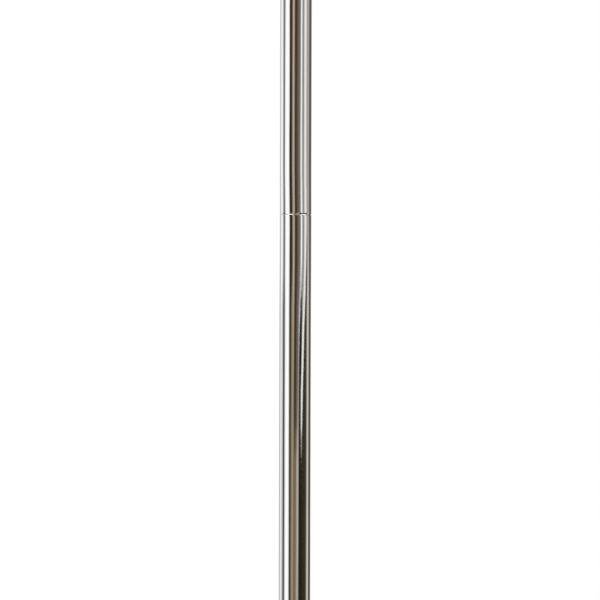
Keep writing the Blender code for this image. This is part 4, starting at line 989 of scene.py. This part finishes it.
def buildRoom():
    world = bpy.data.worlds.new("room")
    bpy.context.scene.world = world
    world.use_nodes = True
    tree = world.node_tree
    tree.nodes.clear()
    add = partial(addNode, tree)
    towards = add("ShaderNodeTexCoord").outputs["Generated"]
    sideways, away, up = add("ShaderNodeSeparateXYZ", {0: towards}).outputs
    nearSide = add("ShaderNodeMath", {0: away, 1: -1.0}, operation="MULTIPLY")
    angle = add("ShaderNodeMath", {0: sideways, 1: nearSide}, operation="ARCTAN2")
    wobble = add("ShaderNodeTexNoise", {"Vector": towards, "Scale": 14.0, "Detail": 2.0})
    shiver = add("ShaderNodeMapRange", {"Value": wobble, "To Min": 0.488, "To Max": 0.512})
    turn = add("ShaderNodeMath", {0: angle, 1: 1 / math.tau, 2: shiver}, operation="MULTIPLY_ADD")
    # the far wall bows to the right at about eye height
    off = add("ShaderNodeMath", {0: up, 1: room["bowHeight"]}, operation="SUBTRACT")
    gap = add("ShaderNodeMath", {0: off}, operation="ABSOLUTE")
    bow = add("ShaderNodeMapRange", {
        "Value": gap, "From Min": 0.008, "From Max": 0.03, "To Min": room["bowTurn"] / 360, "To Max": 0.0},
        interpolation_type="SMOOTHSTEP")
    turn = add("ShaderNodeMath", {0: turn, 1: bow}, operation="ADD")
    # the window's frame leans: its lines move in towards the middle as they run down
    lean = add("ShaderNodeMapRange", {
        "Value": up, "From Min": room["leanTop"], "From Max": room["leanFoot"],
        "To Max": room["leanTurn"] / 360}, interpolation_type="SMOOTHSTEP")
    leaning = roomRamp(tree, turn, {4: "#000000", 34: "#FFFFFF", 88: "#FFFFFF", 114: "#000000"})
    leant = add("ShaderNodeMath", {0: lean, 1: leaning, 2: turn}, operation="MULTIPLY_ADD")
    ragged = add("ShaderNodeTexNoise", {"Vector": towards, "Scale": 55.0, "Detail": 3.0})
    unrest = add("ShaderNodeMath", {0: ragged, 1: 0.5}, operation="SUBTRACT")
    sway = add("ShaderNodeMath", {0: unrest, 1: lean}, operation="MULTIPLY")
    leanTurn = add("ShaderNodeMath", {0: sway, 1: 0.7, 2: leant}, operation="MULTIPLY_ADD")
    upper, lower = roomRamp(tree, leanTurn, upperRoom), roomRamp(tree, turn, lowerRoom)
    # the upper room ends at a ragged line, below which only the window's brightest pane runs down to a point
    sill = roomRamp(tree, leanTurn, sillRise)
    over = add("ShaderNodeMath", {0: sill, 1: -room["sillDrop"], 2: up}, operation="MULTIPLY_ADD")
    line = add("ShaderNodeMath", {0: unrest, 1: 0.03, 2: over}, operation="MULTIPLY_ADD")
    share = add("ShaderNodeMapRange", {
        "Value": line, "From Min": room["sillFoot"], "From Max": room["sillTop"]},
        interpolation_type="SMOOTHSTEP")
    walls = add("ShaderNodeMix", {0: share, 6: lower, 7: upper}, data_type="RGBA").outputs[2]
    # beyond the walls, a ceiling that is brightest low down and a floor that darkens towards the feet
    height = add("ShaderNodeMath", {0: up, 1: 0.5, 2: 0.5}, operation="MULTIPLY_ADD")
    beyond = add("ShaderNodeValToRGB", {"Fac": height})
    rampStops(beyond, {(z + 1) / 2: colour for z, colour in roomHeights.items()})
    steep = add("ShaderNodeMath", {0: up}, operation="ABSOLUTE")
    leave = add("ShaderNodeMapRange", {
        "Value": steep, "From Min": 0.3, "From Max": 0.62, "To Max": 0.85}, interpolation_type="SMOOTHSTEP")
    whole = add("ShaderNodeMix", {0: leave, 6: walls, 7: beyond}, data_type="RGBA").outputs[2]
    seen = add("ShaderNodeLightPath").outputs["Is Camera Ray"]
    white = add("ShaderNodeMix", {0: seen, 6: whole, 7: linearColour("#FFFFFF")}, data_type="RGBA").outputs[2]
    strength = add("ShaderNodeMath", {
        0: seen, 1: 1.0 - room["strength"], 2: room["strength"]}, operation="MULTIPLY_ADD")
    glow = add("ShaderNodeBackground", {"Color": white, "Strength": strength})
    add("ShaderNodeOutputWorld", {"Surface": glow})


buildRoom()
bpy.context.scene.view_settings.view_transform = "Standard"
for name, spot, span, power in (("keyLight", (-1.6, -1.4, 3.4), 1.6, 60),
                                ("fillLight", (2.2, -0.6, 3.2), 2.0, 30)):
    lamp = bpy.data.lights.new(name, "AREA")
    lamp.size = span
    lamp.energy = power
    light = bpy.data.objects.new(name, lamp)
    light.location = spot
    light.rotation_euler = (Vector((0, 0, 0.5)) - light.location).to_track_quat("-Z", "Y").to_euler()
    light.visible_camera = False
    bpy.context.scene.collection.objects.link(light)

lens = bpy.data.cameras.new("camera")
lens.lens = view["lens"]
lens.clip_end = 100
camera = bpy.data.objects.new("camera", lens)
distance = view["frameHeight"] * lens.lens / lens.sensor_width
camera.location = (view["sideways"], -distance, view["middleHeight"])
camera.rotation_euler = (math.pi / 2, -math.radians(view["roll"]), 0)
bpy.context.scene.collection.objects.link(camera)
bpy.context.scene.camera = camera
bpy.data.collections.remove(workbench)
print("camera and light ready")
